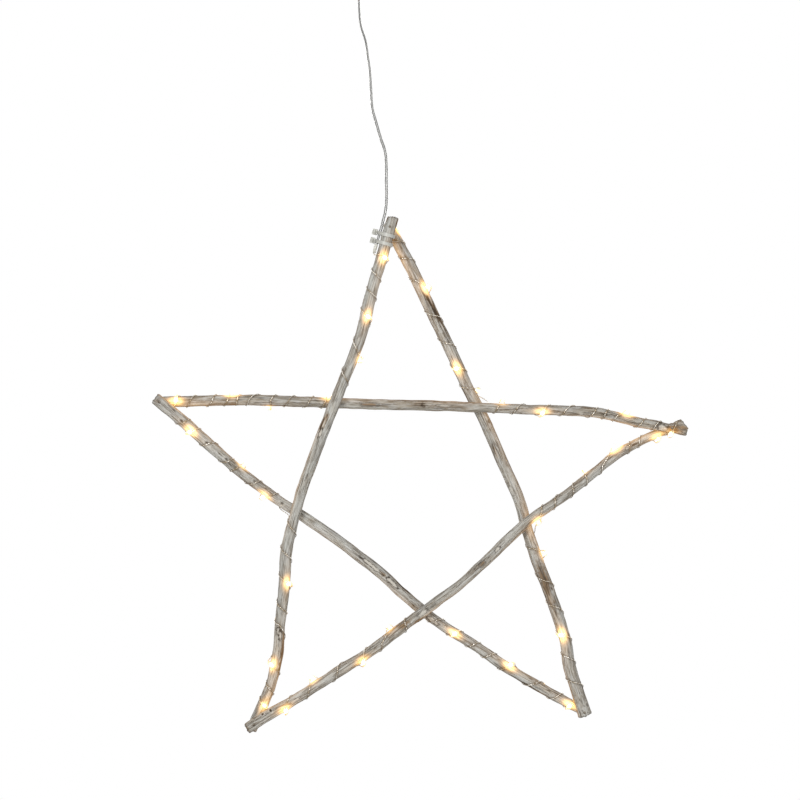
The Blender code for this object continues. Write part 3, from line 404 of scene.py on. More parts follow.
# The loop over the hook, from the standing leg round to the connector
LOOP_ROUTE = (
    (0, 0.00155, -0.059), (0, 0.00155, -0.053), (0, 0.0016, -0.0505), (0, 0.0023, -0.0475),
    (0, 0.0045, -0.0415), (0, 0.007, -0.0355), (0, 0.0082, -0.031), (0, 0.0071, -0.0269),
    (0, 0.0041, -0.0239), (0, 0, -0.0228), (0, -0.0041, -0.0239), (0, -0.0071, -0.0269),
    (0, -0.0082, -0.031), (0, -0.007, -0.0355), (0, -0.0045, -0.0415), (0, -0.0023, -0.0475),
    (0, -0.0016, -0.0505), (0, -0.00155, -0.053), (0, -0.00165, -0.0565), (0, -0.0024, -0.0595),
    (0, -0.00315, -0.062), (0, -0.0034, -0.064), (0, -0.0034, -0.0662),
)


# Curves

def rows_of(vectors):
    return np.array([tuple(vector) for vector in vectors], dtype=float)


def smooth_path(points, pitch):
    """A smooth curve through the points, each kept, with steps of about the pitch between them."""
    rows = rows_of(points)
    padded = np.vstack((2 * rows[0] - rows[1], rows, 2 * rows[-1] - rows[-2]))
    path = []
    for a, b, c, d in zip(padded, padded[1:], padded[2:], padded[3:]):
        steps = max(1, round(np.linalg.norm(c - b) / pitch))
        for step in range(steps):
            t = step / steps
            path.append(0.5 * (2 * b + (c - a) * t + (2 * a - 5 * b + 4 * c - d) * t ** 2
                               + (3 * b - a - 3 * c + d) * t ** 3))
    path.append(rows[-1])
    return np.array(path)


def run_along(path):
    return np.concatenate(([0], np.cumsum(np.linalg.norm(np.diff(path, axis=0), axis=1))))


def resample(path, pitch):
    run = run_along(path)
    stops = np.linspace(0, run[-1], max(2, round(run[-1] / pitch) + 1))
    return np.column_stack([np.interp(stops, run, path[:, axis]) for axis in range(3)])


class Branch:
    """A branch's centre line and thickness, by the distance along it from its first end."""

    def __init__(self, name):
        self.name = name
        self.is_leg = name.endswith("leg")
        rows = [(x * STAR_WIDTH, z * STAR_HEIGHT, girth * BRANCH_DIAMETER / 2)
                for x, z, girth in BRANCH_SHARES[name]]
        path = smooth_path(rows, BRANCH_DIAMETER / 8)
        self.x = path[:, 0] - STAR_LEFT_OF_HOOK
        self.z = path[:, 1] - STAR_FOOT_BELOW_CEILING
        self.radii = path[:, 2]
        steps = np.hypot(np.diff(self.x), np.diff(self.z))
        self.run = np.concatenate(([0], np.cumsum(steps)))
        self.length = float(self.run[-1])
        self.depth_keys = []

    def slope(self, index):
        before = max(index - 1, 0)
        after = min(index + 1, len(self.x) - 1)
        return Vector((self.x[after] - self.x[before], self.z[after] - self.z[before])).normalized()

    def at_share(self, share):
        if self.is_leg:
            height = share * STAR_HEIGHT - STAR_FOOT_BELOW_CEILING
            return float(np.interp(-height, -self.z, self.run))
        return float(np.interp(share * STAR_WIDTH - STAR_LEFT_OF_HOOK, self.x, self.run))

    def depth(self, run):
        keys = self.depth_keys
        for (run_a, depth_a), (run_b, depth_b) in zip(keys, keys[1:]):
            if run_a < run <= run_b:
                share = (run - run_a) / (run_b - run_a)
                return depth_a + (depth_b - depth_a) * (1 - math.cos(math.pi * share)) / 2
        return keys[0][1] if run <= keys[0][0] else keys[-1][1]

    def centre(self, run):
        return Vector((np.interp(run, self.run, self.x), self.depth(run), np.interp(run, self.run, self.z)))

    def skin(self, run, reach=0):
        near = np.linspace(run - reach, run + reach, 5)
        return float(np.max(np.interp(near, self.run, self.radii))) * (1 + LOBE_SHARE)

    def frame(self, run):
        step = BRANCH_DIAMETER / 4
        tangent = self.centre(min(run + step, self.length)) - self.centre(max(run - step, 0))
        tangent.normalize()
        side = Vector((-tangent.z, 0, tangent.x)).normalized()
        return tangent, side, tangent.cross(side)

    def out(self, run, turns):
        _, side, front = self.frame(run)
        angle = 2 * math.pi * turns
        return front * math.cos(angle) + side * math.sin(angle)

    def around(self, run, turns):
        return self.out(run, turns + 1 / 4)


def crossing_runs(one, other):
    gaps = np.hypot(one.x[:, None] - other.x[None, :], one.z[:, None] - other.z[None, :])
    i, j = np.unravel_index(np.argmin(gaps), gaps.shape)
    along = one.slope(i)
    across = other.slope(j)
    apart = Vector((other.x[j] - one.x[i], other.z[j] - one.z[i]))
    turn = along.cross(across)
    return float(one.run[i]) + apart.cross(across) / turn, float(other.run[j]) + apart.cross(along) / turn


def set_depths(branches):
    reach = BRANCH_DIAMETER * CROSSING_REACH_SHARE
    for front_name, back_name, _ in CROSSINGS:
        front = branches[front_name]
        back = branches[back_name]
        front_run, back_run = crossing_runs(front, back)
        half = (front.skin(front_run, reach) + back.skin(back_run, reach) + BRANCH_GAP) / 2
        front.depth_keys.append((front_run, -half))
        back.depth_keys.append((back_run, half))
    for branch in branches.values():
        branch.depth_keys.sort()


# Materials

class Nodes:
    """Short calls for the nodes of one tree. An input is a value or the socket that feeds it."""

    def __init__(self, tree):
        self.tree = tree

    def feed(self, node, inputs):
        for key, value in inputs.items():
            socket = node.inputs[key]
            if isinstance(value, bpy.types.NodeSocket):
                self.tree.links.new(value, socket)
            else:
                socket.default_value = (*value, 1) if socket.type == "RGBA" else value

    def put(self, kind, inputs=None, **settings):
        node = self.tree.nodes.new("ShaderNode" + kind)
        for key, value in settings.items():
            setattr(node, key, value)
        self.feed(node, inputs or {})
        return node

    def attribute(self, name, output="Fac"):
        return self.put("Attribute", attribute_name=name).outputs[output]

    def parts(self, name):
        return self.put("SeparateXYZ", {0: self.attribute(name, "Vector")}).outputs

    def maths(self, operation, a, b=0.0, clamp=False):
        return self.put("Math", {0: a, 1: b}, operation=operation, use_clamp=clamp).outputs[0]

    def plus(self, a, b, clamp=False):
        return self.maths("ADD", a, b, clamp)

    def minus(self, a, b):
        return self.maths("SUBTRACT", a, b)

    def times(self, a, b, clamp=False):
        return self.maths("MULTIPLY", a, b, clamp)

    def ranged(self, value, low, high, out_low=0.0, out_high=1.0):
        inputs = {"Value": value, "From Min": low, "From Max": high, "To Min": out_low, "To Max": out_high}
        return self.put("MapRange", inputs, clamp=True).outputs[0]

    def mix(self, factor, a, b, blend_type="MIX"):
        return self.put("Mix", {0: factor, 6: a, 7: b}, data_type="RGBA", blend_type=blend_type).outputs[2]

    def noise(self, vector, scale, detail, roughness=0.5, distortion=0.0):
        inputs = {"Vector": vector, "Scale": scale, "Detail": detail, "Roughness": roughness,
                  "Distortion": distortion}
        return self.put("TexNoise", inputs).outputs["Fac"]

    def cloud(self, scale, detail=3.0):
        return self.noise(self.put("TexCoord").outputs["Object"], scale, detail)

    def grain_noise(self, vector, across, along, detail, roughness, distortion):
        """Noise whose features are across metres wide round the branch and along metres long."""
        inputs = {0: vector, 1: (1 / across, 1 / across, 1 / along)}
        scaled = self.put("VectorMath", inputs, operation="MULTIPLY").outputs[0]
        return self.noise(scaled, 1.0, detail, roughness, distortion)


class Look(Nodes):
    """A material and the nodes that feed its shader."""

    def __init__(self, name, **values):
        self.name = name
        self.material = bpy.data.materials.new(name)
        self.material.use_nodes = True
        super().__init__(self.material.node_tree)
        self.shade(**values)

    def shade(self, **values):
        """The shader's own inputs, with _ for each space in their names."""
        shader = self.tree.nodes["Principled BSDF"]
        self.feed(shader, {key.replace("_", " "): value for key, value in values.items()})

    def bump(self, height, strength, distance):
        bump = self.put("Bump", {"Height": height, "Strength": strength, "Distance": distance})
        self.shade(Normal=bump.outputs["Normal"])


def wood_material():
    """Greyed wood under thin white wash: grain streaks, checks darkened with painted shade, knots, bare
    brown patches, sawn ends, bare wood and painted shade on its sides, painted shade along the wire
    where it lies on the wood, and the painted warm light of the drops."""
    look = Look("whitewashed_wood", Specular_IOR_Level=0.2)
    grain = look.attribute("grain", "Vector")
    # The bare mask also carries the painted shade on the branch's sides.
    bare, dark, pale = look.parts("marks")
    glow, shade, sawn = look.parts("light")

    noises = [look.grain_noise(grain, *row) for row in WOOD_NOISES]
    streaks, fibres, blotches, wash, checks, hairlines = noises

    steep = look.ranged(streaks, 0.35, 0.54)
    cool = look.mix(steep, (0.2, 0.19, 0.165), (0.54, 0.535, 0.495))
    warm = look.mix(steep, (0.16, 0.112, 0.07), (0.43, 0.385, 0.315))
    tone = look.times(look.attribute("tone"), 0.65)
    tone = look.plus(tone, look.ranged(blotches, 0.38, 0.62, -0.2, 0.45), True)
    white = look.mix(look.ranged(fibres, 0.35, 0.7), (0.47, 0.465, 0.44), (0.7, 0.7, 0.675))
    cover = look.times(look.ranged(wash, 0.46, 0.6, 0.0, 0.72), look.attribute("cover"))
    washed = look.mix(cover, look.mix(tone, cool, warm), white)
    washed = look.mix(look.ranged(hairlines, 0.36, 0.42, 0.62, 0.0), washed, (0.15, 0.115, 0.08))
    brown = look.mix(look.ranged(streaks, 0.38, 0.6), (0.055, 0.033, 0.018), (0.31, 0.205, 0.115))
    torn = look.plus(look.times(streaks, 1.3), look.times(wash, 0.7))
    worn = look.times(bare, look.plus(torn, -0.3))
    worn = look.plus(worn, look.times(look.minus(wash, 0.64), 2.0, True))
    colour = look.mix(look.ranged(worn, 0.22, 0.62, 0.0, 0.92), washed, brown)
    crack = look.ranged(look.maths("ABSOLUTE", look.minus(checks, 0.5)), 0.0, 0.024, 1.0, 0.0)
    crack = look.times(crack, look.ranged(blotches, 0.42, 0.54))
    # Painted shade in the checks: near-black where the cracks run.
    colour = look.mix(look.times(crack, 0.85), colour, (0.07, 0.05, 0.032))
    pale_wood = look.mix(fibres, (0.48, 0.44, 0.37), (0.72, 0.69, 0.63))
    colour = look.mix(look.times(pale, 0.9, True), colour, pale_wood)
    colour = look.mix(look.times(dark, 0.92, True), colour, (0.052, 0.038, 0.026))
    end_wood = look.mix(look.noise(grain, 1500.0, 2.0), (0.16, 0.125, 0.085), (0.5, 0.44, 0.345))
    colour = look.mix(sawn, colour, end_wood)
    # Painted shade: a dark brown line on the wood where the wire lies on it.
    colour = look.mix(look.times(shade, 0.52, True), colour, (0.11, 0.072, 0.038))

    lamp = look.mix(look.ranged(glow, 0.1, 1.1), (1.0, 0.46, 0.06), (1.0, 0.68, 0.22))
    lit = look.mix(1.0, look.mix(0.3, colour, (0.62, 0.62, 0.62)), lamp, "MULTIPLY")
    look.shade(Base_Color=colour, Emission_Color=lit, Emission_Strength=look.times(glow, 2.6),
               Roughness=look.ranged(fibres, 0.2, 0.8, 0.68, 0.92))
    relief = look.plus(streaks, look.times(fibres, 0.5))
    look.bump(look.minus(relief, look.times(crack, 1.2)), 0.8, 0.0004)
    return look


def wire_material():
    """Drawn wire with painted glints, painted shade in the groove where the two strands lie together, and the
    drops' painted golden light near them.
    """
    look = Look("silver_wire", Metallic=1.0, Emission_Color=(1.0, 0.62, 0.2))
    cloud = look.cloud(320.0)
    glow = look.attribute("glow")
    # Painted glints: the cloud turns spots along the wire near-white and leaves the rest brown.
    painted_glints = look.mix(look.ranged(cloud, 0.44, 0.58), (0.48, 0.39, 0.27), (1.0, 0.97, 0.9))
    # Painted shade: the colour darkens towards the groove where a strand faces the other one.
    colour = look.mix(look.ranged(look.attribute("groove"), 0.05, 0.75), painted_glints, (0.17, 0.12, 0.065))
    # Painted light of the drops: a golden tint and a glow on the wire near them.
    look.shade(Base_Color=look.mix(look.times(glow, 0.7, True), colour, (1.0, 0.72, 0.34)),
               Emission_Strength=look.times(glow, 0.6), Roughness=look.ranged(cloud, 0.3, 0.7, 0.18, 0.36))
    look.bump(cloud, 0.2, 0.0001)
    return look


def lead_material():
    """Clear sheath with painted grey lines on its flanks, for the cores seen through them and the painted
    shade of the flanks.
    """
    look = Look("lead_pvc", Roughness=0.12, IOR=1.25, Transmission_Weight=0.78)
    cloud = look.cloud(60.0)
    # Painted grey lines on the flanks: the cores seen through them and painted shade of the refracting
    # flanks.
    line = look.times(look.attribute("core_line"), look.ranged(cloud, 0.4, 0.6, 0.8, 1.0))
    pale = look.mix(cloud, (0.66, 0.66, 0.64), (0.88, 0.88, 0.87))
    look.shade(Base_Color=look.mix(line, pale, (0.04, 0.039, 0.037)))
    look.bump(cloud, 0.2, 0.00005)
    return look


def core_material(name, strength):
    """The lit chip under its phosphor, its glow uneven in a fine cloud."""
    look = Look(name, Roughness=0.4, Emission_Color=(1.0, 0.86, 0.58))
    cloud = look.cloud(1200.0)
    look.shade(Base_Color=look.mix(cloud, (1.0, 0.8, 0.4), (1.0, 0.92, 0.62)),
               Emission_Strength=look.ranged(cloud, 0.3, 0.7, 0.8 * strength, 1.2 * strength))
    return look


def plain_material(name, dark, light, scale, strength=0.3, distance=0.0001, detail=3.0, rough=None, **values):
    """Two tones in a faint cloud with a slight unevenness. On metal and lacquer the cloud has more
    contrast, and the gloss changes with it from rough's first number to its second."""
    look = Look(name, **values)
    cloud = look.cloud(scale, detail)
    if rough:
        look.shade(Roughness=look.ranged(cloud, 0.3, 0.7, *rough))
    tone = look.ranged(cloud, 0.35, 0.65) if rough else cloud
    look.shade(Base_Color=look.mix(tone, dark, light))
    look.bump(cloud, strength, distance)
    return look


MATERIALS = {look.name: look.material for look in (
    wood_material(),
    wire_material(),
    lead_material(),
    core_material("led_core", 3.0),
    core_material("led_core_dim", 1.6),
    plain_material("led_epoxy", (1, 0.89, 0.68), (1, 0.95, 0.84), 900, 0.25, Roughness=0.05, IOR=1.4,
                   Transmission_Weight=0.88, Emission_Color=(1, 0.7, 0.32), Emission_Strength=0.08),
    plain_material("sleeve_pvc", (0.66, 0.65, 0.58), (0.82, 0.81, 0.76), 500, Roughness=0.35, IOR=1.4,
                   Transmission_Weight=0.4),
    plain_material("natural_nylon", (0.56, 0.55, 0.5), (0.74, 0.74, 0.69), 400, 0.3, 0.00008,
                   Roughness=0.34, IOR=1.5, Transmission_Weight=0.25),
    plain_material("nail_steel", (0.05, 0.034, 0.022), (0.3, 0.26, 0.2), 900, 0.2, rough=(0.45, 0.7),
                   Metallic=0.5),
    plain_material("dark_core", (0.04, 0.036, 0.03), (0.12, 0.11, 0.095), 400, 0.2, rough=(0.4, 0.55),
                   Metallic=0.3),
    plain_material("light_core", (0.15, 0.145, 0.135), (0.28, 0.27, 0.25), 400, 0.2, rough=(0.3, 0.45),
                   Metallic=0.3),
    plain_material("white_lacquer", (0.78, 0.78, 0.77), (0.86, 0.86, 0.85), 180, 0.25, detail=4,
                   rough=(0.25, 0.38)),
    plain_material("white_plastic", (0.74, 0.74, 0.72), (0.82, 0.82, 0.8), 500, 0.25, 0.00005, 4,
                   (0.38, 0.5)),
)}


# Mesh helpers

def add_object(name, data):
    obj = bpy.data.objects.new(name, data)
    bpy.context.scene.collection.objects.link(obj)
    return obj


def add_values(mesh, name, values):
    """A number or a vector for each vertex, which the shader reads."""
    values = np.asarray(values, dtype=np.float32)
    kind, field = ("FLOAT_VECTOR", "vector") if values.ndim == 2 else ("FLOAT", "value")
    mesh.attributes.new(name, kind, "POINT").data.foreach_set(field, values.ravel())


def show(name, mesh, material, smooth_degrees):
    mesh.shade_smooth()
    mesh.set_sharp_from_angle(angle=math.radians(smooth_degrees))
    mesh.materials.append(MATERIALS[material])
    return add_object(name, mesh)


def add_mesh(name, verts, faces, material, smooth_degrees, **values):
    mesh = bpy.data.meshes.new(name)
    mesh.from_pydata([tuple(v) for v in verts], [], faces)
    mesh.update()
    for key, numbers in values.items():
        add_values(mesh, key, numbers)
    return show(name, mesh, material, smooth_degrees)


def finish_piece(obj, body, slot, *replaced):
    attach(obj, body)
    if replaced:
        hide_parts(*replaced)
    return obj


def grid_faces(rings, sides, caps=True):
    """Quads between rings of the same count of vertices, and a flat face at each end."""
    faces = []
    for ring in range(rings - 1):
        for a in range(sides):
            b = (a + 1) % sides
            faces.append((ring * sides + a, ring * sides + b, (ring + 1) * sides + b, (ring + 1) * sides + a))
    if caps:
        faces.append(tuple(range(sides))[::-1])
        faces.append(tuple(range((rings - 1) * sides, rings * sides)))
    return faces


def carried_frames(path):
    """Two directions square to a path that turn as little as they can along it."""
    tangents = np.gradient(path, axis=0)
    tangents /= np.linalg.norm(tangents, axis=1)[:, None]
    normals = [np.array(Vector(tangents[0]).orthogonal().normalized())]
    for tangent in tangents[1:]:
        normal = normals[-1] - tangent * (normals[-1] @ tangent)
        normals.append(normal / np.linalg.norm(normal))
    normals = np.array(normals)
    return normals, np.cross(tangents, normals)


def turned_about(normals, binormals, angles):
    return normals * np.cos(angles)[:, None] + binormals * np.sin(angles)[:, None]


def sweep(name, path, outline, material, rolls=None, scales=None, smooth_degrees=60, **values):
    """A closed outline of (x, y) points swept along a path, rolled and scaled along it."""
    normals, binormals = carried_frames(path)
    rolls = np.zeros(len(path)) if rolls is None else rolls
    scales = np.ones(len(path)) if scales is None else scales
    outline = np.array(outline)
    x = turned_about(normals, binormals, rolls)
    y = turned_about(binormals, -normals, rolls)
    verts = (path[:, None, :] + (x[:, None, :] * outline[None, :, :1] + y[:, None, :] * outline[None, :, 1:])
             * scales[:, None, None])
    faces = grid_faces(len(path), len(outline))
    return add_mesh(name, verts.reshape(-1, 3), faces, material, smooth_degrees, **values)


def arc(radius, angles):
    return np.column_stack((np.cos(angles), np.sin(angles))) * radius


def round_outline(radius, sides):
    return arc(radius, np.arange(sides) / sides * 2 * math.pi)


def turned(name, profile, material, place, direction, sides, smooth_degrees=35):
    """A solid turned about an axis from a profile of (radius, height). The profile closes on itself
    where it doesn't start and end on the axis."""
    turn = Vector(direction).to_track_quat("Z", "Y").to_matrix()
    closed = profile[0][0] > 0
    ring_rows = profile if closed else profile[1:-1]
    angles = np.arange(sides) / sides * 2 * math.pi
    verts = [(r * math.cos(a), r * math.sin(a), z) for r, z in ring_rows for a in angles]
    faces = [face[::-1] for face in grid_faces(len(ring_rows), sides, caps=False)]
    pairs = [(a, (a + 1) % sides) for a in range(sides)]
    top = len(verts)
    last = top - sides
    if closed:
        faces += [(last + b, b, a, last + a) for a, b in pairs]
    else:
        verts += [(0, 0, profile[0][1]), (0, 0, profile[-1][1])]
        faces += [(a, b, top) for a, b in pairs]
        faces += [(last + b, last + a, top + 1) for a, b in pairs]
    verts = [turn @ Vector(v) + Vector(place) for v in verts]
    return add_mesh(name, verts, faces, material, smooth_degrees)


def rounded_profile(profile, radius, steps=4):
    """The profile with its inner corners rounded."""
    rows = [np.array(p, dtype=float) for p in profile]
    result = [tuple(rows[0])]
    for before, corner, after in zip(rows, rows[1:], rows[2:]):
        to_before = np.linalg.norm(before - corner)
        to_after = np.linalg.norm(after - corner)
        reach = min(radius, to_before / 2.2, to_after / 2.2)
        a = corner + (before - corner) / to_before * reach
        b = corner + (after - corner) / to_after * reach
        for step in range(steps + 1):
            t = step / steps
            result.append(tuple(a * (1 - t) ** 2 + corner * 2 * t * (1 - t) + b * t ** 2))
    result.append(tuple(rows[-1]))
    return result


# Winding

def wound_place(branch, run, turns):
    """The wire's middle, on the highest of the surface close to it."""
    ring = round(run / branch.length * (len(branch.grid_runs) - 1))
    column = round(turns * SIDES)
    rows = branch.reaches[max(ring - 1, 0):ring + 2]
    reach = max(float(rows[:, (column + step) % SIDES].max()) for step in (-1, 0, 1))
    return branch.centre(run) + branch.out(run, turns) * (reach + WIRE_SEAT_GAP + WIRE_DIAMETER / 2)


def drop_pose(branch, keys, index):
    """Centre and direction of the drop at a key, along the winding's own slope there."""
    runs = [branch.at_share(key[0]) for key in keys]
    before = max(index - 1, 0)
    after = min(index + 1, len(keys) - 1)
    run = runs[index]
    turns = keys[index][1]
    reach = branch.skin(run, DROP_LENGTH / 2) + DROP_SEAT_GAP + DROP_DIAMETER / 2
    forward = branch.frame(run)[0] * (runs[after] - runs[before])
    swing = 2 * math.pi * reach * (keys[after][1] - keys[before][1])
    direction = (forward + branch.around(run, turns) * swing).normalized()
    return branch.centre(run) + branch.out(run, turns) * reach, direction


def wind_arm(branch, keys):
    """The wire's points along one arm and the poses of its drops."""
    straight = DROP_LENGTH / 2 + WIRE_DIAMETER
    stations = []
    drops = []
    for index, (share, turns, has_drop) in enumerate(keys):
        run = branch.at_share(share)
        if not has_drop:
            stations.append((run, turns, run, turns, (wound_place(branch, run, turns),)))
            continue
        place, direction = drop_pose(branch, keys, index)
        drops.append((place, direction))
        advance = straight * direction.dot(branch.frame(run)[0])
        swing = straight * direction.dot(branch.around(run, turns))
        swing = math.atan2(swing, branch.skin(run) + DROP_DIAMETER / 2) / (2 * math.pi)
        ends = (place - direction * straight, place, place + direction * straight)
        stations.append((run - advance, turns - swing, run + advance, turns + swing, ends))
    points = list(stations[0][4])
    for (_, _, run_a, turns_a, _), (run_b, turns_b, _, _, ends) in zip(stations, stations[1:]):
        steps = max(1, math.ceil(abs(turns_b - turns_a) * CURL_POINTS))
        for step in range(2, steps - 1):
            share = step / steps
            points.append(wound_place(branch, run_a + (run_b - run_a) * share,
                                      turns_a + (turns_b - turns_a) * share))
        points.extend(ends)
    return points, drops


def hop(points, following):
    """A slack bridge from the end of one arm's winding to the start of the next."""
    start = points[-1]
    end = following[0]
    reach = (end - start).length
    leave = (start - points[-2]).normalized() * reach
    arrive = (following[1] - end).normalized() * reach
    bridge = []
    for step in range(1, HOP_POINTS + 1):
        t = step / (HOP_POINTS + 1)
        bridge.append(start * (2 * t ** 3 - 3 * t ** 2 + 1) + leave * (t ** 3 - 2 * t ** 2 + t)
                      + end * (3 * t ** 2 - 2 * t ** 3) + arrive * (t ** 3 - t ** 2))
    return bridge


def beside_left_leg(branches, share, radius):
    leg = branches["branch_left_leg"]
    run = leg.at_share(share)
    reach = leg.skin(run) + SEAT_GAP + radius
    return leg.centre(run) + leg.out(run, LEAD_HOLD_TURNS) * reach, leg.frame(run)[0]


def wire_route(branches):
    place, down = beside_left_leg(branches, SLEEVE_SHARE, SLEEVE_DIAMETER / 2)
    points = [place, place + down * (SLEEVE_LENGTH / 2 + WIRE_DIAMETER)]
    drops = []
    for index, (name, keys) in enumerate(WINDING_SHARES):
        arm, poses = wind_arm(branches[name], keys)
        if index:
            points.extend(hop(points, arm))
        points.extend(arm)
        drops.extend(poses)
    last_place, last_direction = drops[-1]
    points[-1] = last_place + last_direction * (DROP_LENGTH / 2 - WIRE_DIAMETER)
    return points, drops


# Branches

def long_noise(spot, width, length):
    return noise.noise(Vector((spot.x / width, spot.y / width, spot.z / length)))


def clipped_line(line, values):
    """A straight line through the values, given as its start and slope, kept from 0 to 1."""
    start, slope = line
    return np.clip(start + slope * values, 0, 1)


def wood_marks(branch, runs, turns, radii):
    """Relief and the three colour masks, bare, dark and pale, of every mark on a branch; the bare mask also
    holds painted shade on the branch's sides.
    """
    relief = np.zeros((len(runs), len(turns)))
    masks = np.zeros((len(runs), len(turns), 3))
    ragged = np.array([[noise.noise(spot / MARK_RAG_WIDTH) for spot in row] for row in branch.spots])
    torn = np.array([[long_noise(spot, TORN_WIDTH, TORN_LENGTH) for spot in row] for row in branch.spots])
    # The sides get brown: partly thinner wash and partly painted shade where they turn away from the front.
    sideways = 1 - np.abs(np.sin(2 * np.pi * turns))[None, :]
    masks[..., 0] += EDGE_BARE_AND_SHADE * (1 + ragged) * np.exp(-(sideways / EDGE_SHARE) ** 2)
    from_end = np.minimum(runs, branch.length - runs)[:, None]
    masks[..., 1] += clipped_line(END_DARK_LINE, ragged) * np.exp(-(from_end / END_DARK) ** 2)
    places = [(kind, branch.at_share(share), *rest) for kind, share, *rest in MARK_SHARES[branch.name]]
    places += [(kind, share * branch.length, *rest) for kind, share, *rest in BACK_MARKS]
    for kind, place, at_turns, half_length, half_width, strength in places:
        along = (runs[:, None] - place) / (half_length * BRANCH_DIAMETER)
        apart = (turns[None, :] - at_turns + 0.5) % 1 - 0.5
        across = apart * 2 * math.pi * radii[:, None] / (half_width * BRANCH_DIAMETER)
        reach = np.sqrt(along ** 2 + across ** 2) * (1 + MARK_RAG_SHARE * ragged)
        inside = 1 / (1 + np.exp(np.clip((reach - HOLLOW_SHARE) * HOLLOW_STEEPNESS, -30, 30)))
        rim = np.exp(-((reach - 1) / RIM_SHARE) ** 2)
        soft = np.exp(-reach ** 2)
        if kind == "bare":
            masks[..., 0] += strength * soft
            relief -= BARE_DEPTH_SHARE * strength * soft
        elif kind == "torn":
            masks[..., 0] += TORN_BARE_SHARE * strength * soft
            plateau = np.exp(-reach ** 4)
            masks[..., 1] += strength * plateau * clipped_line(TORN_DARK_LINE, torn)
            masks[..., 2] += TORN_PALE_SHARE * strength * plateau * clipped_line(TORN_PALE_LINE, torn)
        elif kind == "knot":
            masks[..., 1] += strength * np.exp(-(reach / KNOT_EYE_REACH) ** 4)
            ring = np.exp(-((reach - KNOT_RING_REACH) / KNOT_RING_WIDTH) ** 2)
            masks[..., 2] += KNOT_PALE_SHARE * strength * ring
            swell = np.exp(-(reach / KNOT_SWELL_REACH) ** 2) - KNOT_DIP * np.exp(-2 * reach ** 2)
            relief += KNOT_HEIGHT_SHARE * strength * swell
        else:
            masks[..., 1] += RIM_DARK_SHARE * strength * rim
            masks[..., 2 if kind == "scar" else 0] += strength * inside
            relief += strength * (SCAR_RIM_SHARE * rim - SCAR_DEPTH_SHARE * inside)
    return relief * BRANCH_DIAMETER, masks


def shape_surface(branch):
    """The branch's outer reach on a grid of rings and sides, with the marks' colour masks. The spots
    are the grid on a straight rod, whose axis is the grain, and each branch's rod lies apart."""
    count = round(branch.length / RING_PITCH) + 1
    runs = np.linspace(0, branch.length, count)
    turns = np.arange(SIDES) / SIDES
    radii = np.interp(runs, branch.run, branch.radii)
    branch.offset = sum(ord(letter) for letter in branch.name) * BRANCH_DIAMETER
    angles = [2 * math.pi * turn for turn in turns]
    branch.spots = [[Vector((math.cos(angle) * radius, math.sin(angle) * radius, run + branch.offset))
                     for angle in angles] for run, radius in zip(runs, radii)]
    relief, branch.masks = wood_marks(branch, runs, turns, radii)
    branch.grid_runs = runs
    branch.reaches = np.empty(relief.shape)
    for ring, run in enumerate(runs):
        base = float(radii[ring])
        for column, spot in enumerate(branch.spots[ring]):
            lobe = math.cos(2 * math.pi * (LOBES * turns[column] + run / LOBE_TURN_PITCH))
            reach = base * (1 + LOBE_SHARE * lobe) + float(relief[ring, column])
            reach += (RIDGE_HEIGHT * (long_noise(spot, RIDGE_WIDTH, RIDGE_LENGTH) - RIDGE_MIDDLE)
                      + BUMP_HEIGHT * (noise.noise(spot / BUMP_WIDTH) - BUMP_MIDDLE))
            branch.reaches[ring, column] = min(reach, base * (1 + LOBE_SHARE) + SKIN_ROOM)


def drop_light(spots, outs, tangents, drops):
    """The drops' light on the wood: close round each, drawn out along the grain, and on faces that
    look towards it."""
    glow = np.zeros(len(spots))
    for number, (place, _) in enumerate(drops, 1):
        away = np.array(tuple(place)) - spots
        reach = np.linalg.norm(away, axis=1)
        along = (away * tangents).sum(axis=1)
        gap = np.sqrt(np.maximum(reach ** 2 - GLOW_ALONG_SHARE * along ** 2, 0))
        gap = np.maximum(gap - DROP_DIAMETER / 2, 0)
        facing = np.clip((away * outs).sum(axis=1) / reach, 0, 1)
        close = np.exp(-gap ** 2 / (2 * GLOW_NEAR ** 2))
        wide = GLOW_WIDE_SHARE * facing * np.exp(-reach / GLOW_REACH)
        glow += LIGHT_SHARES.get(number, 1.0) * (close + wide)
    return glow


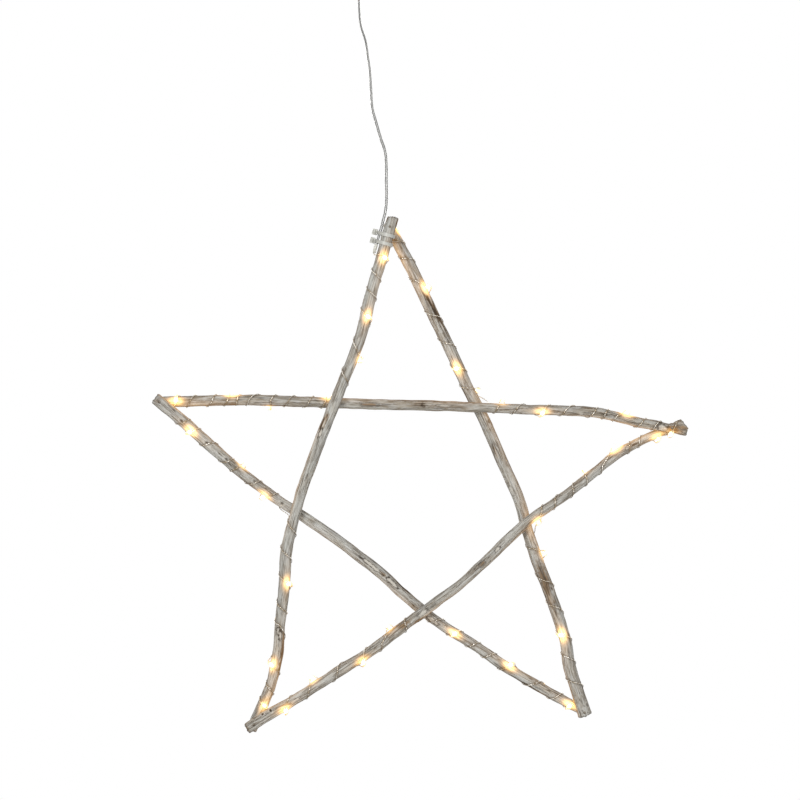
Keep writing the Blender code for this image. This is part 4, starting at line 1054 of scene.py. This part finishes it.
def branch_piece(branch, drops, wire_tree):
    """One branch with its ridges, bumps, knots and frayed ends, and what its shader reads."""
    name = branch.name
    tone, cover, end_cuts = BRANCH_LOOKS[name]
    count = len(branch.grid_runs)
    verts = []
    grain = []
    outs = []
    tangents = []
    for ring, run in enumerate(branch.grid_runs):
        tangent, side, front = branch.frame(run)
        centre = branch.centre(run)
        at_first = run < branch.length / 2
        from_end = min(run, branch.length - run)
        cuts = end_cuts[0 if at_first else 1]
        zone = max(END_ZONE_FRAYS * FRAY_LENGTH, END_ZONE_CUTS * max(cuts) * BRANCH_DIAMETER)
        near_end = max(0.0, 1 - from_end / zone)
        inward = tangent if at_first else -tangent
        for column, spot in enumerate(branch.spots[ring]):
            angle = 2 * math.pi * (column / SIDES)
            sine = math.sin(angle)
            reach = float(branch.reaches[ring, column])
            reach -= END_ROUND * max(0.0, 1 - from_end / END_ROUND) ** 2
            back = (cuts[0] * max(sine, 0) + cuts[1] * max(-sine, 0)) * BRANCH_DIAMETER
            fray = noise.noise(Vector((spot.x / FRAY_WIDTH, spot.y / FRAY_WIDTH, branch.offset)))
            back += FRAY_LENGTH * (0.5 + fray)
            out = front * math.cos(angle) + side * sine
            verts.append(centre + out * reach + inward * (max(back, 0.0) * near_end))
            grain.append(spot)
            outs.append(out)
            tangents.append(tangent)
    faces = grid_faces(count, SIDES, caps=False)
    for first, flip in ((0, True), ((count - 1) * SIDES, False)):
        ring = verts[first:first + SIDES]
        beyond = -tangents[first] if flip else tangents[first]
        middle = sum(ring, Vector()) / SIDES
        previous = first
        for level in END_RING_SHARES:
            start = len(verts)
            for a in range(SIDES):
                verts.append(middle + (ring[a] - middle) * level)
                grain.append(grain[first + a] * level)
                b = (a + 1) % SIDES
                face = (previous + a, previous + b, start + b, start + a)
                faces.append(face[::-1] if flip else face)
            outs += [beyond] * SIDES
            tangents += [beyond] * SIDES
            previous = start
        cap = tuple(range(previous, previous + SIDES))
        faces.append(cap[::-1] if flip else cap)
    ends = np.zeros((len(verts) - count * SIDES, 3))
    sawn = np.arange(len(verts)) >= count * SIDES
    glow = drop_light(rows_of(verts), rows_of(outs), rows_of(tangents), drops)
    # Painted shade on the wood, strongest right next to the wire.
    shade = [math.exp(-max(wire_tree.find(v)[2] - WIRE_DIAMETER, 0.0) / SHADE_REACH) for v in verts]
    obj = add_mesh(name + "_wood", verts, faces, "whitewashed_wood", 50, grain=rows_of(grain),
                   marks=np.vstack((branch.masks.reshape(-1, 3), ends)),
                   light=np.column_stack((glow, shade, sawn)), tone=[tone] * len(verts),
                   cover=[cover] * len(verts))
    bm = bmesh.new()
    bm.from_mesh(obj.data)
    bmesh.ops.recalc_face_normals(bm, faces=bm.faces)
    bm.to_mesh(obj.data)
    bm.free()
    return finish_piece(obj, "star", "whitewashed_wood", name)


# Nails, wire and drops

def nail_piece(name):
    """The nail's domed head and shank, on the axis of its own node."""
    low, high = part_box(name)
    centre = (low + high) / 2
    head = (high.x - low.x) / 2
    length = high.y - low.y
    thickness = head / 2
    profile = [(head * radius, thickness * height) for radius, height in NAIL_HEAD_SHARES]
    profile += [(head / 2, head - length), (0, -length * NAIL_POINT_SHARE)]
    seat = Vector((centre.x, low.y + thickness, centre.z))
    obj = turned(name + "_steel", profile, "nail_steel", seat, (0, -1, 0), sides=24)
    return finish_piece(obj, "star", "nail_steel", name)


def wire_pieces(path, drops):
    """Two strands twisted round each other along the winding."""
    normals, binormals = carried_frames(path)
    phase = np.arange(len(path)) / STRAND_STEPS * 2 * math.pi
    # The drops' painted light on the wire, fading with the distance from each drop.
    lit = np.zeros(len(path))
    for number, (place, _) in enumerate(drops, 1):
        away = np.maximum(np.linalg.norm(path - np.array(tuple(place)), axis=1) - DROP_LENGTH / 2, 0)
        lit += LIGHT_SHARES.get(number, 1.0) * np.exp(-away / GLOW_NEAR)
    for index, name in enumerate(("wire_strand_one", "wire_strand_two")):
        offset = turned_about(normals, binormals, phase + index * math.pi)
        strand = path + offset * STRAND_DIAMETER / 2
        obj = sweep(name, strand, round_outline(STRAND_DIAMETER / 2, STRAND_SIDES), "silver_wire",
                    smooth_degrees=180, glow=np.repeat(lit, STRAND_SIDES))
        spots = np.empty(len(obj.data.vertices) * 3)
        obj.data.vertices.foreach_get("co", spots)
        away = spots.reshape(len(path), STRAND_SIDES, 3) - strand[:, None, :]
        away /= np.linalg.norm(away, axis=2)[..., None]
        # Painted shade for the groove: how much each point of a strand faces the other strand.
        groove = np.clip(-(away * offset[:, None, :]).sum(axis=2), 0, 1)
        add_values(obj.data, "groove", groove.ravel())
        finish_piece(obj, "star", "silver_wire", *(["led_wire"] if index == 0 else []))


def bead_profile(length, diameter, steps, neck_share, power):
    """From end to end, fullest in the middle, and drawn out to a neck at each end."""
    rows = [(0, length / 2)]
    for step in range(steps):
        angle = math.pi * (step + 0.5) / steps
        fullness = neck_share + (1 - neck_share) * math.sin(angle) ** power
        rows.append((diameter / 2 * fullness, length / 2 * math.cos(angle)))
    rows.append((0, -length / 2))
    return rows


def drop_pieces(drops):
    bead_rows = bead_profile(DROP_LENGTH, DROP_DIAMETER, steps=15, neck_share=0.16, power=0.8)
    core_rows = bead_profile(CORE_LENGTH, CORE_DIAMETER, steps=9, neck_share=0, power=1)
    for number, (place, direction) in enumerate(drops, 1):
        bead = turned(f"led_bead_{number:02d}", bead_rows, "led_epoxy", place, direction, 20, 180)
        finish_piece(bead, "star", "led_epoxy", f"led_drop_{number:02d}")
        kind = "led_core_dim" if number in DIM_DROPS else "led_core"
        core = turned(f"led_core_{number:02d}", core_rows, kind, place, direction, 12, 180)
        finish_piece(core, "star", "led_epoxy")


# Sleeve, lead and ties

def sleeve_piece(branches):
    place, down = beside_left_leg(branches, SLEEVE_SHARE, SLEEVE_DIAMETER / 2)
    half = SLEEVE_LENGTH / 2
    outer = SLEEVE_DIAMETER / 2
    rows = [(0, half), (outer * SLEEVE_MOUTH_SHARE, half)]
    for step in range(SLEEVE_RIPPLES + 1):
        below_lip = SLEEVE_LENGTH * SLEEVE_RIPPLED_SHARE * step / SLEEVE_RIPPLES
        fullness = 1 - SLEEVE_RIPPLE_SHARE * (1 - math.cos(step * SLEEVE_RIPPLE_ANGLE))
        rows.append((outer * fullness, half - SLEEVE_LENGTH * SLEEVE_LIP_SHARE - below_lip))
    rows += [(outer * radius, -half * height) for radius, height in SLEEVE_TIP_SHARES]
    obj = turned("splice_sleeve_clear", rows, "sleeve_pvc", place, -down, sides=24)
    return finish_piece(obj, "star", "clear_pvc", "splice_sleeve")


def lead_route(branches):
    place, down = beside_left_leg(branches, SLEEVE_SHARE, SLEEVE_DIAMETER / 2)
    route = [place - down * (SLEEVE_LENGTH / 2 + SEAT_GAP)]
    for share in sorted(TIE_SHARES.values()):
        route.append(beside_left_leg(branches, share, LEAD_DIAMETER / 2)[0])
    return resample(smooth_path([*route, *LEAD_ROUTE, *LOOP_ROUTE], LEAD_STEP), LEAD_STEP)


def twin_outline():
    """Outline round the lead's two jackets side by side, and how much painted grey line each of its points
    takes, for the cores and the shade at the flanks.
    """
    radius = LEAD_JACKET_DIAMETER / 2
    apart = LEAD_DIAMETER / 2 - radius
    angles = np.linspace(-math.pi * LEAD_OPEN_SHARE, math.pi * LEAD_OPEN_SHARE, LEAD_ARC_POINTS)
    right = arc(radius, angles) + (apart, 0)
    off_line = (np.degrees(np.abs(angles)) - LEAD_SHADE_LINE_DEGREES) / LEAD_SHADE_LINE_HALF_DEGREES
    return np.vstack((right, -right)), np.tile(np.exp(-off_line ** 2), 2)


def lead_pieces(branches, connector, tie):
    path = lead_route(branches)
    runs = run_along(path)
    normals, binormals = carried_frames(path)
    flat = int(np.argmin(np.abs(runs - LEAD_FLAT_RUN)))
    facing = math.atan2(binormals[flat][0], normals[flat][0])
    rolls = facing + (runs - LEAD_FLAT_RUN) / LEAD_TWIST * 2 * math.pi
    outline, lines = twin_outline()
    jacket = sweep("lead_jacket", path, outline, "lead_pvc", rolls=rolls, core_line=np.tile(lines, len(path)))
    finish_piece(jacket, "star", "clear_pvc", "power_lead")
    apart = LEAD_DIAMETER / 2 - LEAD_JACKET_DIAMETER / 2
    offset = turned_about(normals, binormals, rolls)
    for name, sign, material in (("lead_core_dark", 1, "dark_core"), ("lead_core_light", -1, "light_core")):
        core = sweep(name, path + offset * apart * sign, round_outline(LEAD_CORE_DIAMETER / 2, 8), material)
        finish_piece(core, "star", "clear_pvc")


def belt_outline(radius, second_radius, distance, offset):
    """A belt round two circles, at an offset from them."""
    lean = math.acos((radius - second_radius) / distance)
    shares = np.arange(TIE_ARC_POINTS) / (TIE_ARC_POINTS - 1)
    first = arc(radius + offset, lean + 2 * (math.pi - lean) * shares)
    return np.vstack((first, arc(second_radius + offset, lean * (2 * shares - 1)) + (distance, 0)))


def add_block(bm, size, centre, edge, segments):
    """Adds a block with rounded edges to a mesh that is being built."""
    block = bmesh.new()
    bmesh.ops.create_cube(block, size=1)
    bmesh.ops.scale(block, verts=block.verts, vec=size)
    bmesh.ops.bevel(block, geom=block.edges[:], offset=edge, segments=segments, affect="EDGES", profile=0.7)
    bmesh.ops.translate(block, verts=block.verts, vec=centre)
    mesh = bpy.data.meshes.new("block")
    block.to_mesh(mesh)
    block.free()
    bm.from_mesh(mesh)
    bpy.data.meshes.remove(mesh)


def tie_piece(name, radius, distance, place, axis, outward):
    """A strap with soft edges and teeth, its locking head with a window, and its trimmed tail."""
    outline = belt_outline(radius, LEAD_DIAMETER / 2, distance, SEAT_GAP + TIE_THICKNESS / 2)
    thick = TIE_THICKNESS / 2
    wide = TIE_WIDTH / 2
    edge = TIE_THICKNESS * TIE_EDGE_SHARE
    section = [(-thick, edge - wide), (edge - thick, -wide), (thick - edge, -wide), (thick, edge - wide),
               (thick, wide - edge), (thick - edge, wide), (edge - thick, wide), (-thick, wide - edge)]
    following = np.roll(outline, -1, axis=0) - np.roll(outline, 1, axis=0)
    outside = np.column_stack((following[:, 1], -following[:, 0]))
    outside /= np.linalg.norm(outside, axis=1)[:, None]
    bm = bmesh.new()
    rings = []
    for index, (spot, normal) in enumerate(zip(outline, outside)):
        tooth = TIE_THICKNESS * TIE_TOOTH_SHARE * (index % 2)
        cut = [(x - tooth if x > 0 else x, y) for x, y in section]
        rings.append([bm.verts.new((*(spot + normal * x), y)) for x, y in cut])
    for ring, after in zip(rings, rings[1:] + rings[:1]):
        for a in range(len(section)):
            b = (a + 1) % len(section)
            bm.faces.new((ring[a], ring[b], after[b], after[a]))
    band = distance + LEAD_DIAMETER / 2 + SEAT_GAP + TIE_THICKNESS / 2
    head = (TIE_HEAD_HEIGHT, TIE_HEAD_LENGTH, TIE_HEAD_WIDTH)
    window = [size * share for size, share in zip(head, TIE_WINDOW_SHARES)]
    tail = (TIE_THICKNESS, TIE_HEAD_LENGTH + TIE_TAIL_LENGTH, TIE_WIDTH)
    add_block(bm, head, (band + TIE_HEAD_HEIGHT / 2, 0, 0), TIE_HEAD_EDGE, 3)
    window_height, window_side = TIE_WINDOW_PLACE
    add_block(bm, window, (band + head[0] * window_height, head[1] * window_side, 0), TIE_WINDOW_EDGE, 2)
    add_block(bm, tail, (band + TIE_HEAD_HEIGHT * TIE_TAIL_HEIGHT_SHARE, -tail[1] / 2, 0), TIE_TAIL_EDGE, 2)
    bmesh.ops.recalc_face_normals(bm, faces=bm.faces)
    turn = Matrix((outward, axis.cross(outward), axis)).transposed().to_4x4()
    bm.transform(Matrix.Translation(place) @ turn)
    mesh = bpy.data.meshes.new(name)
    bm.to_mesh(mesh)
    bm.free()
    obj = show(name + "_nylon", mesh, "natural_nylon", 35)
    return finish_piece(obj, "star", "natural_nylon", name)


def tie_pieces(branches):
    leg = branches["branch_left_leg"]
    for name, share in TIE_SHARES.items():
        run = leg.at_share(share)
        radius = leg.skin(run, TIE_WIDTH / 2)
        tie_piece(name, radius, radius + SEAT_GAP + LEAD_DIAMETER / 2, leg.centre(run), leg.frame(run)[0],
                  leg.out(run, LEAD_HOLD_TURNS))
    apart = LEAD_DIAMETER + SEAT_GAP
    return tie_piece("loop_tie", LEAD_DIAMETER / 2, apart, Vector((0, -apart / 2, -LOOP_TIE_BELOW_CEILING)),
                     Vector((0, 0, -1)), Vector((0, 1, 0)))


# Hook and connector

def hook_pieces():
    radius = HOOK_BASE_DIAMETER / 2
    base_low = -HOOK_BASE_THICKNESS
    profile = [(0, 0), (radius, 0), (radius, base_low + HOOK_BASE_EDGE), (radius - HOOK_BASE_EDGE, base_low),
               (HOOK_WIRE_DIAMETER * HOOK_FOOT_SHARE, base_low), (0, base_low)]
    profile = rounded_profile(profile, HOOK_BASE_EDGE / 2)
    plate = turned("hook_plate", profile, "white_lacquer", (0, 0, 0), (0, 0, 1), sides=64)
    finish_piece(plate, "hook", "white_lacquer", "ceiling_hook")
    bow_centre = HOOK_BOW_RADIUS - HOOK_BOW_BELOW_CEILING
    points = [(0, 0, base_low * HOOK_STEM_START_SHARE), (0, 0, (base_low + bow_centre + HOOK_BOW_RADIUS) / 2)]
    turned_degrees = HOOK_BOW_SWEEP_DEGREES * np.arange(HOOK_BOW_STEPS + 1) / HOOK_BOW_STEPS
    bow_points = arc(HOOK_BOW_RADIUS, np.radians(HOOK_BOW_START_DEGREES - turned_degrees))
    points += [(x, 0, bow_centre + z) for x, z in bow_points]
    path = smooth_path(points, HOOK_WIRE_DIAMETER / 6)
    left = run_along(path)[-1] - run_along(path)
    scales = np.sqrt(np.clip(1 - (1 - np.clip(left / (HOOK_WIRE_DIAMETER / 2), 0, 1)) ** 2, 0.02, 1))
    bow = sweep("hook_bow", path, round_outline(HOOK_WIRE_DIAMETER / 2, 20), "white_lacquer", scales=scales)
    finish_piece(bow, "hook", "white_lacquer")


def connector_piece():
    outer = CONNECTOR_DIAMETER / 2
    inner = outer - CONNECTOR_EDGE
    groove = outer * CONNECTOR_GROOVE_SHARE
    low = -CONNECTOR_LENGTH
    socket = CONNECTOR_SOCKET_DIAMETER / 2
    floor = low + CONNECTOR_SOCKET_DEPTH
    grip = LEAD_DIAMETER / 2 + SEAT_GAP
    rows = [(inner, 0), (outer, -CONNECTOR_EDGE)]
    for rib in range(CONNECTOR_GROOVES):
        top = low * (CONNECTOR_FIRST_GROOVE + CONNECTOR_GROOVE_PITCH * rib)
        heights = [top - down for down in CONNECTOR_GROOVE_STEPS]
        rows += zip((outer, groove, groove, outer), heights)
    rows += [(outer, low + CONNECTOR_EDGE), (inner, low), (socket, low), (socket, floor),
             (CONNECTOR_CORE_RADIUS, floor), (CONNECTOR_CORE_RADIUS, -CONNECTOR_GRIP_DEPTH),
             (grip, -CONNECTOR_GRIP_DEPTH), (grip, 0)]
    x, y, z = LOOP_ROUTE[-1]
    place = (x, y, z + CONNECTOR_GRIP_DEPTH - SEAT_GAP)
    obj = turned("connector_shell", rows, "white_plastic", place, (0, 0, 1), sides=40)
    return finish_piece(obj, "star", "white_plastic", "lead_connector")


# Surroundings

def make_floor():
    half = FLOOR_WIDTH / 2
    mesh = bpy.data.meshes.new("floor")
    mesh.from_pydata([(-half, -half, 0), (half, -half, 0), (half, half, 0), (-half, half, 0)], [],
                     [(0, 1, 2, 3)])
    floor = add_object("floor", mesh)
    floor.location = (0, 0, -FLOOR_BELOW_CEILING)
    look = Look("floor", Base_Color=(0.8, 0.8, 0.79), Roughness=0.9, Emission_Color=(1, 1, 1))
    seen = look.put("LightPath").outputs["Is Camera Ray"]
    look.shade(Emission_Strength=look.times(seen, FLOOR_PALENESS))
    mesh.materials.append(look.material)


def make_world():
    """White where the camera, gloss or clear pieces see it, and softer on everything else."""
    world = bpy.data.worlds.new("studio")
    bpy.context.scene.world = world
    world.use_nodes = True
    nodes = Nodes(world.node_tree)
    path = nodes.put("LightPath").outputs
    seen = nodes.maths("MAXIMUM", path["Is Camera Ray"], path["Is Transmission Ray"])
    seen = nodes.maths("MAXIMUM", seen, path["Is Glossy Ray"])
    strength = nodes.ranged(seen, 0.0, 1.0, WORLD_SOFTNESS, 1.0)
    nodes.feed(world.node_tree.nodes["Background"], {"Color": (1, 1, 1), "Strength": strength})


def make_lamps(target):
    for name, offset, size, power in LAMPS:
        lamp = bpy.data.lights.new(name, "AREA")
        lamp.shape = "SQUARE"
        lamp.size = size
        lamp.energy = power
        obj = add_object(name, lamp)
        obj.location = target + Vector(offset)
        obj.rotation_euler = (target - obj.location).to_track_quat("-Z", "Y").to_euler()


def make_camera():
    centre_x = (PHOTO_PIXELS / 2 - HOOK_PIXEL) * METRES_PER_PIXEL
    centre_z = -PHOTO_TOP_BELOW_CEILING - PHOTO_PIXELS / 2 * METRES_PER_PIXEL
    width = PHOTO_PIXELS * METRES_PER_PIXEL
    camera = bpy.data.cameras.new("camera")
    camera.lens = LENS_MM
    camera.sensor_width = SENSOR_MM
    obj = add_object("camera", camera)
    obj.location = (centre_x, -width * LENS_MM / SENSOR_MM, centre_z)
    obj.rotation_euler = (math.pi / 2, 0, 0)
    bpy.context.scene.camera = obj
    return Vector((centre_x, 0, centre_z))


target = make_camera()
make_floor()
make_world()
make_lamps(target)

branches = {name: Branch(name) for name in BRANCH_SHARES}
set_depths(branches)
for branch in branches.values():
    shape_surface(branch)
wire_points, drop_poses = wire_route(branches)
lead_pieces(branches, connector_piece(), tie_pieces(branches))
sleeve_piece(branches)
wire_path = resample(smooth_path(wire_points, WIRE_DIAMETER), STRAND_TURN / STRAND_STEPS)
wire_tree = kdtree.KDTree(len(wire_path))
for index, spot in enumerate(wire_path):
    wire_tree.insert(spot, index)
wire_tree.balance()
for branch in branches.values():
    branch_piece(branch, drop_poses, wire_tree)
for _, _, nail in CROSSINGS:
    if nail:
        nail_piece(nail)
wire_pieces(wire_path, drop_poses)
drop_pieces(drop_poses)
hook_pieces()

bpy.context.scene.view_settings.view_transform = "Standard"
